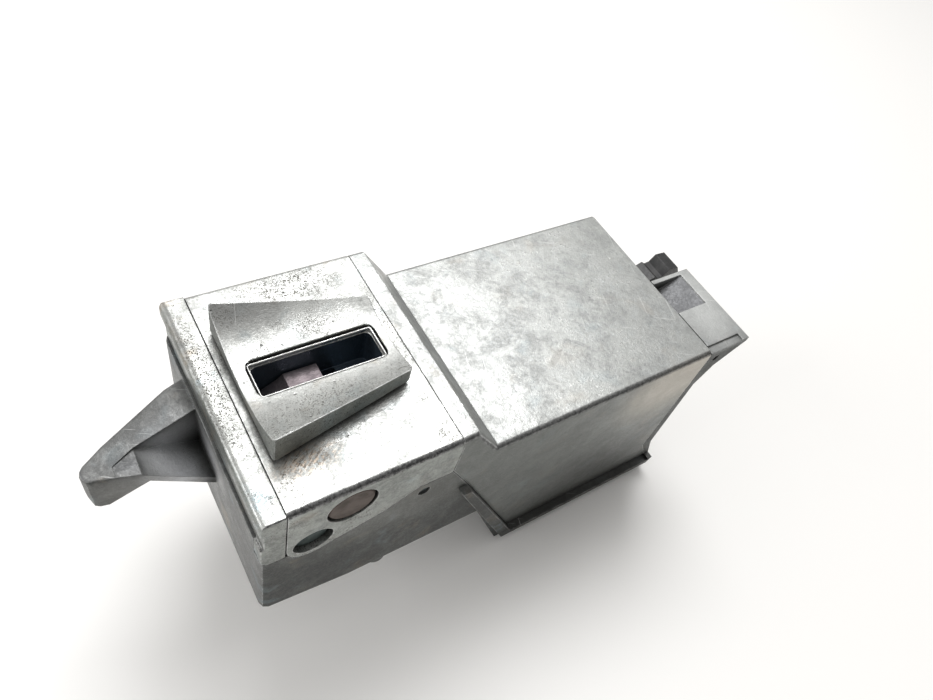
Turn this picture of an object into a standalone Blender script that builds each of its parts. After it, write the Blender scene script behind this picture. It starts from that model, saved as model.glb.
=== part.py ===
"""Electric steering column lock: a die-cast head with a saddle for the column and a slot for the lock bolt,
joined to a long cast box that holds the motor, the circuit board and the plug socket.

Metres, +Z up. Inside the script x runs from the left face of the head, y from its front face and z from
its top plate; the empty "lock_origin" moves all of it so that the world origin is the centre of the base.
"""

import math

import bmesh
import bpy
from mathutils import Vector

# Fits
SEAM = 0.0003
SLIDE_FIT = 0.0003
# How far a cut runs past the surface that it opens
PAST = 0.0010

# Head
HEAD_LENGTH = 0.0445
BODY_WIDTH = 0.0524
HEAD_DEPTH = 0.0448
HEAD_RISE = 0.0038
HEAD_FLOOR = 0.0025
HEAD_KNEE = 0.0200
TOP_BEVEL = 0.0013
CORNER_BEVEL = 0.0016
STRIP_WIDTH = 0.0049
STRIP_DEPTH = 0.0103
STRIP_WAIST = 0.0006
STRIP_LIP = 0.0036
STRIP_LEG_DEPTH = 0.0172
STRIP_LEG_THICKNESS = 0.0030
STRIP_LEG_ROUND = 0.0022
RIGHT_STRIP_WIDTH = 0.0038
BLOCK_DEPTH = 0.0120

# Saddle and slot in the guide block
SADDLE_LEFT = 0.0065
SADDLE_MARGIN = 0.0035
SADDLE_HALF_WIDTH_LEFT = 0.0160
SADDLE_HALF_WIDTH_RIGHT = 0.0099
SADDLE_RADIUS = 0.0260
SADDLE_LOW = 0.0030
SADDLE_PLINTH = 0.0012
SADDLE_UNDERCUT = 0.0010
SLOT_MARGIN_LEFT = 0.0030
SLOT_MARGIN_RIGHT = 0.0026
SLOT_WIDTH = 0.0072
SLOT_RIM = 0.0008
SLOT_RIM_DEPTH = 0.0012
SLOT_FLOOR = 0.0070
SLOT_CORNER = 0.0012
GUIDE_STEP = 0.0001

# Pins that show in the front face of the head
STOP_PIN_X = 0.0177
STOP_PIN_Z = -0.0070
STOP_PIN_RADIUS = 0.0049
STOP_PIN_LENGTH = 0.0130
PIN_SINK = 0.0002
PIN_CHAMFER = 0.0005
KEEPER_X = 0.0103
KEEPER_Z = -0.0155
KEEPER_RADIUS = 0.0038
KEEPER_LENGTH = 0.0100
KEEPER_RECESS = 0.0012
BOSS_LENGTH = 0.0150
LOBE_DEPTH = 0.0044
LOBE_SLOPE_RUN = 0.0076
ROLL_PIN_FROM_RIGHT = 0.0101
ROLL_PIN_Z = -0.0155
ROLL_PIN_RADIUS = 0.0011
ROLL_PIN_LENGTH = 0.0022
ROLL_PIN_RECESS = 0.0004

# Box with the electronics
STEP_DROP = 0.0104
STEP_RUN = 0.0072
BOX_LENGTH = 0.0658
BOX_DRAFT = 0.0036
COVER_DEPTH = 0.0693
COVER_WALL = 0.0025
FOOT_GAP = 0.0012
SEAL_THICKNESS = 0.0006
SEAL_INSET = 0.0008
SEAM_KNEE_RUN = 0.0039
SEAM_KNEE_Z = -0.0252
SEAM_FOOT_RUN = 0.0277
BULKHEAD = 0.0034
FLOOR = 0.0034
RIM = 0.0038
LEDGE = 0.0020
LEDGE_DEPTH = 0.0032
TRAY_DEPTH = 0.0072
END_WALL = 0.0034
FOOT_FLARE = 0.0052
FOOT_FLARE_HEIGHT = 0.0100
FOOT_WALL = 0.0020

# Tab at the right end
TAB_LENGTH = 0.0138
TAB_WIDTH = 0.0255
TAB_RECESS_FROM = 0.0138
TAB_RECESS_WALL = 0.0012
TAB_RECESS_LENGTH = 0.0105
TAB_RECESS_DEPTH = 0.0055
TAB_STEP = 0.0006
TAB_STEP_WIDTH = 0.0022
TAB_GUSSET_X = 0.0060
TAB_GUSSET_DEPTH = 0.0084
TAB_FOOT_DEPTH = 0.0160
TAB_HOLE_RADIUS = 0.0011
TAB_HOLE_X = 0.0038
TAB_HOLE_DROP = 0.0040
TAB_HOLE_DEPTH = 0.0060

# Horn on the left face
HORN_TOP = -0.0118
HORN_REACH = 0.0227
HORN_ROOT_Y = 0.0420
HORN_TIP_Y = 0.0280
HORN_TIP_RADIUS = 0.0024
HORN_BEVEL = 0.0007
HORN_NEAR_Y = 0.0240
HORN_POCKET_REACH = 0.0172
HORN_POCKET_TIP_Y = 0.0275
HORN_POCKET_ROOT_Y = 0.0337
HORN_POCKET_DEPTH = 0.0121
HORN_POCKET_KNEE = 0.0130
HORN_POCKET_LIP = 0.0006
HORN_TIP_DEPTH = 0.0097
HORN_NECK = 0.0119
HORN_NECK_DEPTH = 0.0036
HORN_ROOT_DEPTH = 0.0146

# Boss under the head
UNDER_BOSS_X = 0.0285
UNDER_BOSS_Y = 0.0037
UNDER_BOSS_RADIUS = 0.0032
UNDER_BOSS_HEIGHT = 0.0036

# Lock bolt and carrier
BOLT_TOP = -0.0030
BOLT_BODY_DROP = 0.0100
BOLT_EDGE = 0.0006
BOLT_SCREW_GAP = 0.0023
TONGUE_INSET = 0.0010
TONGUE_BACK = 0.0040
TONGUE_SHOULDER_DROP = 0.0036
TONGUE_CHAMFER = 0.0012
CARRIER_WIDTH = 0.0160
CARRIER_LEFT = 0.0075
CARRIER_END = 0.0060
BOLT_PIN_RADIUS = 0.0013
SPRING_WIRE = 0.0005
SPRING_TURNS = 4

# Lift screw, worm wheel and worm
SCREW_FROM_RIGHT = 0.0120
SCREW_RADIUS = 0.0030
SCREW_JOURNAL = 0.0020
BUSH_WALL = 0.0018
BUSH_LENGTH = 0.0026
WHEEL_TEETH = 24
WORM_STARTS = 2
WORM_LENGTH = 0.0150
TOOTH_SHARE = 0.36
TOOTH_HEIGHT = 0.0007
TOOTH_DEPTH = 0.0010
TOOTH_SLOPE = 0.22
TOOTH_ROOM = 0.0006

# Motor
MOTOR_CLEAR = 0.0043
MOTOR_REACH = 0.0143
MOTOR_GAP = 0.0015
MOTOR_FLAT = 0.72
MOTOR_CAP = 0.0035
CRADLE_REACH = 0.6
SHAFT_RADIUS = 0.0010
SHAFT_TAIL = 0.0035
SHAFT_POST = 0.0040
STRAP_WIDTH = 0.0070
STRAP_THICKNESS = 0.0008

# Circuit board, switches and plug socket
BOARD_POST = 0.0045
BOARD_THICKNESS = 0.0016
BOARD_MARGIN = 0.0030
BOARD_INSET = 0.0130
POST_RADIUS = 0.0028
POST_INSET = 0.0050
BOARD_SCREW_RADIUS = 0.0011
BOARD_SCREW_HEAD = 0.0022
BOARD_SCREW_HEAD_HEIGHT = 0.0014
BOARD_SCREW_LENGTH = 0.0026
RELAY_WIDTH = 0.0120
RELAY_HEIGHT = 0.0095
CHIP_HEIGHT = 0.0018
CASE_EDGE = 0.0007
SWITCH_LENGTH = 0.0128
SWITCH_WIDTH = 0.0058
PLUNGER = 0.0020
SOCKET_GAP = 0.0017
SOCKET_HEIGHT = 0.0200
SOCKET_REACH = 0.0085
SOCKET_WALL = 0.0015
SOCKET_FLANGE = 0.0040
PIN_COUNT = 4
PIN_SIZE = 0.0010
PIN_LENGTH = 0.0110
PIN_TAIL = 0.0020
LATCH_WIDTH = 0.0064
LATCH_DROP = 0.0008
LATCH_REACH = 0.0146
LATCH_START = 0.0014
LATCH_NOTCH = 0.0028

CURVE_STEPS = 24
HALF_WIDTH = BODY_WIDTH / 2
BLOCK_RIGHT = HEAD_LENGTH - RIGHT_STRIP_WIDTH
BOX_LEFT = HEAD_LENGTH + STEP_RUN
BOX_RIGHT = BOX_LEFT + BOX_LENGTH
TAB_RIGHT = BOX_RIGHT + TAB_LENGTH
HOUSING_TOP = -BLOCK_DEPTH + SEAM
HEAD_DEPTH_LEFT = HEAD_DEPTH - HEAD_RISE
BASE_DEPTH = COVER_DEPTH + TRAY_DEPTH
SEAM_KNEE_X = HEAD_LENGTH + SEAM_KNEE_RUN
SEAM_FOOT_X = HEAD_LENGTH + SEAM_FOOT_RUN
SADDLE_RIGHT = BLOCK_RIGHT - SADDLE_MARGIN
SADDLE_TOP = SADDLE_LOW + SADDLE_RADIUS - math.sqrt(SADDLE_RADIUS ** 2 - SADDLE_HALF_WIDTH_LEFT ** 2) + PAST
SLOT_LEFT = SADDLE_LEFT + SLOT_MARGIN_LEFT
SLOT_RIGHT = SADDLE_RIGHT - SLOT_MARGIN_RIGHT
ROLL_PIN_X = HEAD_LENGTH - ROLL_PIN_FROM_RIGHT

# The chamber under the block, shared out between the bolt's travel, its carrier and the wheel
CHAMBER_LEFT = STRIP_WIDTH + 0.0014
CHAMBER_FLOOR = -HEAD_DEPTH_LEFT + HEAD_FLOOR
CHAMBER_HEIGHT = -BLOCK_DEPTH - CHAMBER_FLOOR
BOLT_TRAVEL = CHAMBER_HEIGHT * 19 / 53
CARRIER_THICKNESS = CHAMBER_HEIGHT * 12 / 53
WHEEL_WIDTH = CHAMBER_HEIGHT * 10 / 53
WHEEL_Z = CHAMBER_FLOOR + CHAMBER_HEIGHT / 53 + WHEEL_WIDTH / 2
CARRIER_TOP = -BLOCK_DEPTH - BOLT_TRAVEL - CHAMBER_HEIGHT * 5.8 / 53
SWITCH_HEIGHT = BOLT_TRAVEL * 13 / 19

# The drive fills the half width between the screw and the cover's far wall
GEAR_MODULE = HALF_WIDTH * 9 / 262
WORM_RADIUS = HALF_WIDTH * 42 / 262
PITCH = math.pi * GEAR_MODULE
WHEEL_RADIUS = WHEEL_TEETH * GEAR_MODULE / 2
WORM_Y = HALF_WIDTH + WHEEL_RADIUS + WORM_RADIUS
MOTOR_HALF_WIDTH = BODY_WIDTH - COVER_WALL - MOTOR_GAP - WORM_Y
SCREW_X = HEAD_LENGTH - SCREW_FROM_RIGHT
SHAFT_END_X = SCREW_X - WORM_LENGTH / 2 - SHAFT_POST - SHAFT_TAIL
WHEEL_LEFT = SCREW_X - WHEEL_RADIUS - TOOTH_HEIGHT
SPRING_X = (CHAMBER_LEFT + WHEEL_LEFT) / 2
SPRING_RADIUS = (WHEEL_LEFT - CHAMBER_LEFT) * 0.26
CARRIER_RIGHT = SCREW_X + CARRIER_END

BOARD_TOP = -STEP_DROP - COVER_WALL - BOARD_POST
BOARD_UNDER = BOARD_TOP - BOARD_THICKNESS - SEAM
BOARD_LEFT = HEAD_LENGTH + BOARD_INSET
BOARD_RIGHT = BOX_RIGHT - COVER_WALL - BOARD_MARGIN
BOARD_FRONT = COVER_WALL + BOARD_MARGIN
MOTOR_END = SEAM_FOOT_X + MOTOR_REACH
MOTOR_RADIUS = (BOARD_TOP - BOARD_THICKNESS - WHEEL_Z) * 20 / 33
CRADLE_TOP = WHEEL_Z - MOTOR_RADIUS * CRADLE_REACH
SOCKET_TOP = BOARD_UNDER - SEAM
SOCKET_Y = TAB_WIDTH + SOCKET_GAP
SOCKET_WIDTH = BODY_WIDTH - COVER_WALL - SOCKET_GAP - SOCKET_Y
LATCH_TOP = -STEP_DROP - LATCH_DROP


def clear_scene():
    for obj in list(bpy.data.objects):
        bpy.data.objects.remove(obj, do_unlink=True)


def material(name, colour, roughness, metallic):
    made = bpy.data.materials.new(name)
    made.use_nodes = True
    shader = made.node_tree.nodes["Principled BSDF"]
    shader.inputs["Base Color"].default_value = (*colour, 1.0)
    shader.inputs["Roughness"].default_value = roughness
    shader.inputs["Metallic"].default_value = metallic
    return made


def arc(centre_a, centre_b, radius, start, end, steps):
    """Points of an arc in degrees, both ends included."""
    points = []
    for i in range(steps + 1):
        angle = math.radians(start + (end - start) * i / steps)
        points.append((centre_a + radius * math.cos(angle), centre_b + radius * math.sin(angle)))
    return points


def rectangle(a0, b0, a1, b1):
    return [(a0, b0), (a1, b0), (a1, b1), (a0, b1)]


def extruded(outline, axis, start, end):
    """A bmesh of the outline swept from start to end along X, Y or Z."""
    place = {
        "X": lambda a, b, c: (c, a, b),
        "Y": lambda a, b, c: (a, c, b),
        "Z": lambda a, b, c: (a, b, c),
    }[axis]
    bm = bmesh.new()
    face = bm.faces.new([bm.verts.new(place(a, b, start)) for a, b in outline])
    swept = bmesh.ops.extrude_face_region(bm, geom=[face])
    moved = [item for item in swept["geom"] if isinstance(item, bmesh.types.BMVert)]
    bmesh.ops.translate(bm, vec=Vector(place(0, 0, end - start)), verts=moved)
    bmesh.ops.recalc_face_normals(bm, faces=bm.faces)
    return bm


def bevel_edges(bm, wanted, width, segments=2):
    """Rounds the edges whose two end points both satisfy the test."""
    edges = [edge for edge in bm.edges if wanted(edge.verts[0].co, edge.verts[1].co)]
    bmesh.ops.bevel(bm, geom=edges, offset=width, segments=segments, profile=0.5, affect="EDGES",
                    clamp_overlap=True)


def add(name, bm, parent, look=None, smooth=False):
    mesh = bpy.data.meshes.new(name)
    bmesh.ops.recalc_face_normals(bm, faces=bm.faces)
    bm.to_mesh(mesh)
    bm.free()
    obj = bpy.data.objects.new(name, mesh)
    bpy.context.scene.collection.objects.link(obj)
    obj.parent = parent
    if look:
        mesh.materials.append(look)
    if smooth:
        mesh.shade_smooth()
        mesh.set_sharp_from_angle(angle=math.radians(35))
    return obj


def helper(name, bm, parent):
    """A cutter or a shape to be joined, which isn't part of the object."""
    obj = add(name, bm, parent)
    obj.hide_render = True
    obj.display_type = "WIRE"
    return obj


def combine(target, operation, bm, label):
    tool = helper(target.name + "_" + label, bm, target.parent)
    modifier = target.modifiers.new(label, "BOOLEAN")
    modifier.operation = operation
    modifier.solver = "EXACT"
    modifier.object = tool
    return tool


def cut(target, bm, label):
    return combine(target, "DIFFERENCE", bm, label)


def join(target, bm, label):
    return combine(target, "UNION", bm, label)


def cylinder(radius, axis, a, b, start, end, steps=CURVE_STEPS):
    return extruded(arc(a, b, radius, 0, 360 * (steps - 1) / steps, steps - 1), axis, start, end)


def box(x0, y0, z0, x1, y1, z1):
    return extruded(rectangle(x0, y0, x1, y1), "Z", z0, z1)


def empty(name, parent, location):
    obj = bpy.data.objects.new(name, None)
    obj.empty_display_size = 0.01
    bpy.context.scene.collection.objects.link(obj)
    obj.parent = parent
    obj.location = location
    return obj


def seam_x(z):
    """x of the sloping seam between housing and cover at a height below its knee."""
    share = (z - SEAM_KNEE_Z) / (-COVER_DEPTH - SEAM_KNEE_Z)
    return SEAM_KNEE_X + share * (SEAM_FOOT_X - SEAM_KNEE_X)


def box_end_x(z):
    """x of the cover's right end, which leans out towards its foot."""
    return BOX_RIGHT + BOX_DRAFT * (-z - STEP_DROP) / (COVER_DEPTH - STEP_DROP)


def cover_end_x(z):
    """x of the cover's right end, with the flare that its foot makes."""
    flare = max(0.0, 1 - (z + COVER_DEPTH) / FOOT_FLARE_HEIGHT)
    return box_end_x(z) + FOOT_FLARE * flare


def motor_start():
    """x of the motor's left end, clear of the seam at the top of its cradle."""
    return seam_x(CRADLE_TOP) + MOTOR_CLEAR


def block_plate(grow=0.0):
    """The flat plate of the guide block seen from the front."""
    return rectangle(STRIP_WIDTH + SEAM / 2 - grow, -BLOCK_DEPTH - grow, BLOCK_RIGHT - SEAM / 2 + grow, 0.0)


def block_lobe(grow=0.0):
    """The lobe round the keeper pin, which hangs below the front of the plate."""
    inside = -BLOCK_DEPTH + PAST * 1.5
    left = STRIP_WIDTH + SEAM / 2 - grow
    bottom = -BLOCK_DEPTH - grow
    shoulder = ROLL_PIN_X - inside - BLOCK_DEPTH
    points = [(left, inside), (ROLL_PIN_X, inside), (shoulder, bottom),
              (shoulder - LOBE_SLOPE_RUN, bottom - LOBE_DEPTH)]
    points += arc(KEEPER_X, KEEPER_Z, KEEPER_X - left, -60, -180, 6)
    return points


def cover_outline(grow=0.0, below=0.0):
    """The cover seen from the front: head strip, sloping step, box top, end and sloping seam."""
    left = BLOCK_RIGHT + SEAM / 2 - grow
    foot = -COVER_DEPTH - below
    flare_top = -COVER_DEPTH + FOOT_FLARE_HEIGHT
    return [
        (left, grow),
        (HEAD_LENGTH, grow),
        (BOX_LEFT + grow, -STEP_DROP + grow),
        (BOX_RIGHT + grow, -STEP_DROP + grow),
        (box_end_x(flare_top) + grow, flare_top),
        (cover_end_x(foot) + grow, foot),
        (seam_x(foot) - grow, foot),
        (SEAM_KNEE_X - grow, SEAM_KNEE_Z),
        (left, -BLOCK_DEPTH),
    ]


def strip_leg(grow=0.0):
    """The foot of the side strip, which hooks down round the front corner of the head."""
    right = STRIP_WIDTH - SEAM / 2 + grow
    radius = STRIP_LEG_ROUND + grow
    top = -STRIP_DEPTH + PAST
    points = [(-grow, top), (right, top), (right, -STRIP_LEG_DEPTH - grow)]
    points += arc(radius - grow, -STRIP_LEG_DEPTH - grow + radius, radius, 270, 180, 4)
    return points


def housing_outline():
    """The lower casting seen from the front, from the head round the tray to the end tab."""
    foot = SEAM_FOOT_X - RIM * 0.6
    under = HEAD_KNEE
    meet = seam_x(-HEAD_DEPTH) - RIM
    end = cover_end_x(-COVER_DEPTH) + FOOT_WALL
    flare_top = -COVER_DEPTH + FOOT_FLARE_HEIGHT
    return [
        (0.0, -STRIP_DEPTH - SEAM),
        (0.0, -HEAD_DEPTH_LEFT),
        (under, -HEAD_DEPTH),
        (meet, -HEAD_DEPTH),
        (foot, -BASE_DEPTH),
        (end, -BASE_DEPTH),
        (end, -COVER_DEPTH),
        (box_end_x(flare_top) + END_WALL, flare_top),
        (BOX_RIGHT + END_WALL, -TAB_FOOT_DEPTH - STEP_DROP),
        (BOX_RIGHT + TAB_GUSSET_X, -TAB_GUSSET_DEPTH - STEP_DROP),
        (TAB_RIGHT, -STEP_DROP - TOP_BEVEL),
        (TAB_RIGHT, -STEP_DROP),
        (BOX_RIGHT - COVER_WALL, -STEP_DROP),
        (BOX_RIGHT - COVER_WALL, -STRIP_DEPTH - SEAM),
    ]


def ledge_outline():
    """The raised rim that runs along the seam on the front and the back of the tray."""
    top = SEAM_KNEE_Z + LEDGE
    end = cover_end_x(-COVER_DEPTH) + FOOT_WALL
    return [
        (seam_x(top), top),
        (SEAM_FOOT_X, -COVER_DEPTH),
        (end, -COVER_DEPTH),
        (end - LEDGE * 0.5, -COVER_DEPTH - LEDGE_DEPTH),
        (SEAM_FOOT_X - RIM * 0.6, -COVER_DEPTH - LEDGE_DEPTH),
        (seam_x(top) - RIM * 0.7, top),
    ]


def horn(housing):
    """A three-sided horn: a rib along its far side and a floor that slopes down to the head."""
    inside = PAST * 2
    plan = [
        (inside, HORN_ROOT_Y),
        (-HORN_REACH * 0.21, HORN_ROOT_Y - HORN_TIP_RADIUS * 0.8),
        (-HORN_REACH * 0.79, HORN_TIP_Y + HORN_TIP_RADIUS * 1.9),
    ]
    plan += arc(-HORN_REACH + HORN_TIP_RADIUS, HORN_TIP_Y, HORN_TIP_RADIUS, 130, 250, 5)
    plan += [(-HORN_NECK, HORN_NEAR_Y), (inside, HORN_NEAR_Y)]
    side = [
        (inside, HORN_TOP),
        (-HORN_REACH - PAST, HORN_TOP),
        (-HORN_REACH - PAST, HORN_TOP - HORN_TIP_DEPTH * 0.2),
        (-HORN_REACH + HORN_TIP_RADIUS * 0.3, HORN_TOP - HORN_TIP_DEPTH),
        (-HORN_REACH + HORN_TIP_RADIUS * 1.3, HORN_TOP - HORN_TIP_DEPTH),
        (-HORN_NECK, HORN_TOP - HORN_NECK_DEPTH),
        (inside, HORN_TOP - HORN_ROOT_DEPTH - inside * 0.8),
    ]
    whole = extruded(plan, "Z", HORN_TOP - HORN_ROOT_DEPTH * 2, HORN_TOP)
    bevel_edges(whole, lambda p, q: min(p.z, q.z) > HORN_TOP - 1e-6 and max(p.x, q.x) < inside, HORN_BEVEL)
    tool = join(housing, whole, "horn")
    combine(tool, "INTERSECT", extruded(side, "Y", 0.0, BODY_WIDTH), "horn_side")
    near = HORN_NEAR_Y - PAST
    over = HORN_TOP + PAST
    pocket_plan = [
        (0.0, near),
        (0.0, HORN_POCKET_ROOT_Y),
        (-HORN_POCKET_REACH * 0.75, HORN_POCKET_TIP_Y + HORN_TIP_RADIUS),
        (-HORN_POCKET_REACH, HORN_POCKET_TIP_Y),
        (-HORN_POCKET_REACH, near),
    ]
    floor = [
        (0.0, over),
        (-HORN_POCKET_REACH, over),
        (-HORN_POCKET_REACH, HORN_TOP - HORN_POCKET_LIP / 3),
        (-HORN_POCKET_KNEE, HORN_TOP - HORN_POCKET_LIP),
        (0.0, HORN_TOP - HORN_POCKET_DEPTH),
    ]
    pocket = cut(housing, extruded(pocket_plan, "Z", HORN_TOP - HORN_ROOT_DEPTH, over), "pocket")
    combine(pocket, "INTERSECT", extruded(floor, "Y", near - PAST, HORN_ROOT_Y), "pocket_floor")


def main_housing(root, look):
    bm = extruded(housing_outline(), "Y", 0.0, BODY_WIDTH)
    bevel_edges(bm, lambda p, q: max(p.x, q.x) < 1e-6 and abs(p.y - q.y) < 1e-6, CORNER_BEVEL)
    housing = add("main_housing", bm, root, look)
    for side, start, end in (("front", -LEDGE, LEDGE), ("back", BODY_WIDTH - LEDGE, BODY_WIDTH + LEDGE)):
        join(housing, extruded(ledge_outline(), "Y", start, end), "ledge_" + side)
    past = LEDGE + PAST
    cut(housing, extruded(block_plate(SEAM), "Y", -past, BODY_WIDTH + past), "block_seat")
    cut(housing, extruded(block_lobe(SEAM), "Y", -past, BOSS_LENGTH + SEAM), "lobe_seat")
    cut(housing, extruded(cover_outline(SEAM, FOOT_GAP), "Y", -past, BODY_WIDTH + past), "cover_seat")
    cut(housing, extruded(strip_leg(SEAM), "Y", -past, STRIP_LEG_THICKNESS + SEAM), "leg_seat")
    pan = pan_span()
    cut(housing, box(pan[0], COVER_WALL + SEAM, -BASE_DEPTH + FLOOR, pan[1], BODY_WIDTH - COVER_WALL - SEAM,
                     -COVER_DEPTH), "pan")
    wall = COVER_WALL + SEAM
    chamber = [
        (CHAMBER_LEFT, HOUSING_TOP + PAST),
        (CHAMBER_LEFT, CHAMBER_FLOOR),
        (seam_x(CHAMBER_FLOOR) - BULKHEAD, CHAMBER_FLOOR),
        (SEAM_KNEE_X - BULKHEAD, SEAM_KNEE_Z),
        (BLOCK_RIGHT - BULKHEAD * 0.3, -BLOCK_DEPTH - PAST),
        (BLOCK_RIGHT - BULKHEAD * 0.3, HOUSING_TOP + PAST),
    ]
    cut(housing, extruded(chamber, "Y", wall, BODY_WIDTH - wall), "chamber")
    worm_room = WORM_RADIUS + TOOTH_HEIGHT + TOOTH_ROOM
    cut(housing, box(SHAFT_END_X + SHAFT_POST + SEAM, WORM_Y - worm_room, WHEEL_Z - worm_room,
                     motor_start(), WORM_Y + worm_room, WHEEL_Z + worm_room), "worm_room")
    cut(housing, cylinder(SHAFT_RADIUS + BUSH_WALL + SEAM, "X", WORM_Y, WHEEL_Z,
                          SHAFT_END_X - PAST, SHAFT_END_X + BUSH_LENGTH + SHAFT_POST), "shaft_seat")
    bush = SCREW_JOURNAL + BUSH_WALL + SEAM
    cut(housing, cylinder(bush, "Z", SCREW_X, HALF_WIDTH, CHAMBER_FLOOR - BUSH_LENGTH - SEAM,
                          CHAMBER_FLOOR + PAST), "bush_seat")
    # The far half of the end wall stays low, for the plug socket.
    cut(housing, box(BOX_RIGHT - COVER_WALL - PAST, TAB_WIDTH, -COVER_DEPTH + RIM * 2,
                     TAB_RIGHT + PAST, BODY_WIDTH + past, 0.0), "socket_room")
    ramp = [
        (BOX_RIGHT - PAST, -STEP_DROP + PAST),
        (BOX_RIGHT + TAB_RECESS_LENGTH, -STEP_DROP + PAST),
        (BOX_RIGHT + TAB_RECESS_LENGTH, -STEP_DROP - TAB_RECESS_DEPTH * 0.07),
        (BOX_RIGHT - PAST, -STEP_DROP - TAB_RECESS_DEPTH),
    ]
    cut(housing, extruded(ramp, "Y", TAB_RECESS_FROM, TAB_WIDTH - TAB_RECESS_WALL), "tab_recess")
    cut(housing, box(BOX_RIGHT - PAST, -PAST, -STEP_DROP - TAB_STEP, TAB_RIGHT - TAB_STEP_WIDTH,
                     TAB_STEP_WIDTH, -STEP_DROP + PAST), "tab_step")
    cut(housing, cylinder(TAB_HOLE_RADIUS, "Y", BOX_RIGHT + TAB_HOLE_X, -STEP_DROP - TAB_HOLE_DROP, -PAST,
                          TAB_HOLE_DEPTH, 16), "tab_hole")
    cut(housing, cylinder(ROLL_PIN_RADIUS + SEAM, "Y", ROLL_PIN_X, ROLL_PIN_Z, -PAST,
                          ROLL_PIN_LENGTH + ROLL_PIN_RECESS + SEAM, 16), "roll_pin_hole")
    join(housing, cylinder(UNDER_BOSS_RADIUS, "Z", UNDER_BOSS_X, UNDER_BOSS_Y,
                           -HEAD_DEPTH - UNDER_BOSS_HEIGHT, -HEAD_DEPTH + PAST), "under_boss")
    horn(housing)
    return housing


def pan_span():
    """Left and right side of the shallow pan in the tray's floor."""
    return SEAM_FOOT_X + COVER_WALL, box_end_x(-COVER_DEPTH) - COVER_WALL - SEAM


def side_strip(root, look):
    right = STRIP_WIDTH - SEAM / 2
    outline = [
        (0.0, 0.0),
        (right, 0.0),
        (right, -STRIP_DEPTH),
        (STRIP_WAIST, -STRIP_DEPTH),
        (STRIP_WAIST, -STRIP_LIP - STRIP_WAIST),
        (0.0, -STRIP_LIP),
    ]
    bm = extruded(outline, "Y", 0.0, BODY_WIDTH)
    bevel_edges(bm, lambda p, q: min(p.z, q.z) > -1e-6 and max(p.x, q.x) < 1e-6, TOP_BEVEL)
    bevel_edges(bm, lambda p, q: min(p.z, q.z) > -1e-6 and abs(p.y - q.y) < 1e-6
                and (p.y < 1e-6 or p.y > BODY_WIDTH - 1e-6), TOP_BEVEL)
    strip = add("side_strip", bm, root, look)
    join(strip, extruded(strip_leg(), "Y", 0.0, STRIP_LEG_THICKNESS), "leg")
    return strip


def guide_block(root, look):
    bm = extruded(block_plate(), "Y", 0.0, BODY_WIDTH)
    bevel_edges(bm, lambda p, q: min(p.z, q.z) > -1e-6 and abs(p.y - q.y) < 1e-6, TOP_BEVEL)
    block = add("guide_block", bm, root, look)
    join(block, extruded(block_lobe(), "Y", 0.0, BOSS_LENGTH), "lobe")
    for label, inset, bottom, top in (
        ("plinth", SADDLE_UNDERCUT, -PAST, SADDLE_PLINTH + PAST / 2),
        ("saddle", 0.0, SADDLE_PLINTH, SADDLE_TOP),
    ):
        left = SADDLE_LEFT + inset
        right = SADDLE_RIGHT - inset
        wide = SADDLE_HALF_WIDTH_LEFT - inset
        narrow = SADDLE_HALF_WIDTH_RIGHT - inset
        plan = [(left, HALF_WIDTH - wide), (right, HALF_WIDTH - narrow),
                (right, HALF_WIDTH + narrow), (left, HALF_WIDTH + wide)]
        bm = extruded(plan, "Z", bottom, top)
        bevel_edges(bm, upright, SLOT_RIM)
        join(block, bm, label)
    cut(block, cylinder(SADDLE_RADIUS, "X", HALF_WIDTH, SADDLE_LOW + SADDLE_RADIUS, SADDLE_LEFT - PAST,
                        SADDLE_RIGHT + PAST, 120), "column")
    rim_bottom = SADDLE_LOW - SLOT_RIM_DEPTH
    for label, grow, bottom in (("slot", 0.0, -SLOT_FLOOR), ("slot_rim", SLOT_RIM, rim_bottom)):
        half = SLOT_WIDTH / 2 + grow
        bm = box(SLOT_LEFT - grow, HALF_WIDTH - half, bottom, SLOT_RIGHT + grow, HALF_WIDTH + half,
                 SADDLE_TOP + PAST)
        bevel_edges(bm, upright, SLOT_CORNER + grow / 2)
        cut(block, bm, label)
    bolt = bolt_span()
    half = SLOT_WIDTH / 2 - GUIDE_STEP
    cut(block, box(bolt[0] - SLIDE_FIT, HALF_WIDTH - half, -BLOCK_DEPTH - PAST,
                   bolt[1] + SLIDE_FIT, HALF_WIDTH + half, -SLOT_FLOOR + PAST), "guide")
    bush = SCREW_JOURNAL + BUSH_WALL + SEAM
    cut(block, cylinder(bush, "Z", SCREW_X, HALF_WIDTH, -BLOCK_DEPTH - PAST,
                        -BLOCK_DEPTH + BUSH_LENGTH + SEAM), "bush_seat")
    cut(block, cylinder(STOP_PIN_RADIUS + SEAM, "Y", STOP_PIN_X, STOP_PIN_Z, -PAST,
                        STOP_PIN_LENGTH + SEAM * 2, 32), "stop_pin_hole")
    cut(block, cylinder(KEEPER_RADIUS + SEAM, "Y", KEEPER_X, KEEPER_Z, -PAST,
                        KEEPER_RECESS + KEEPER_LENGTH + SEAM, 32), "keeper_hole")
    return block


def upright(p, q):
    return abs(p.z - q.z) > PAST


def bolt_span():
    """Left and right side of the bolt, which ends just short of the lift screw."""
    return SLOT_LEFT + SLIDE_FIT, SCREW_X - SCREW_RADIUS - BOLT_SCREW_GAP


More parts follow.
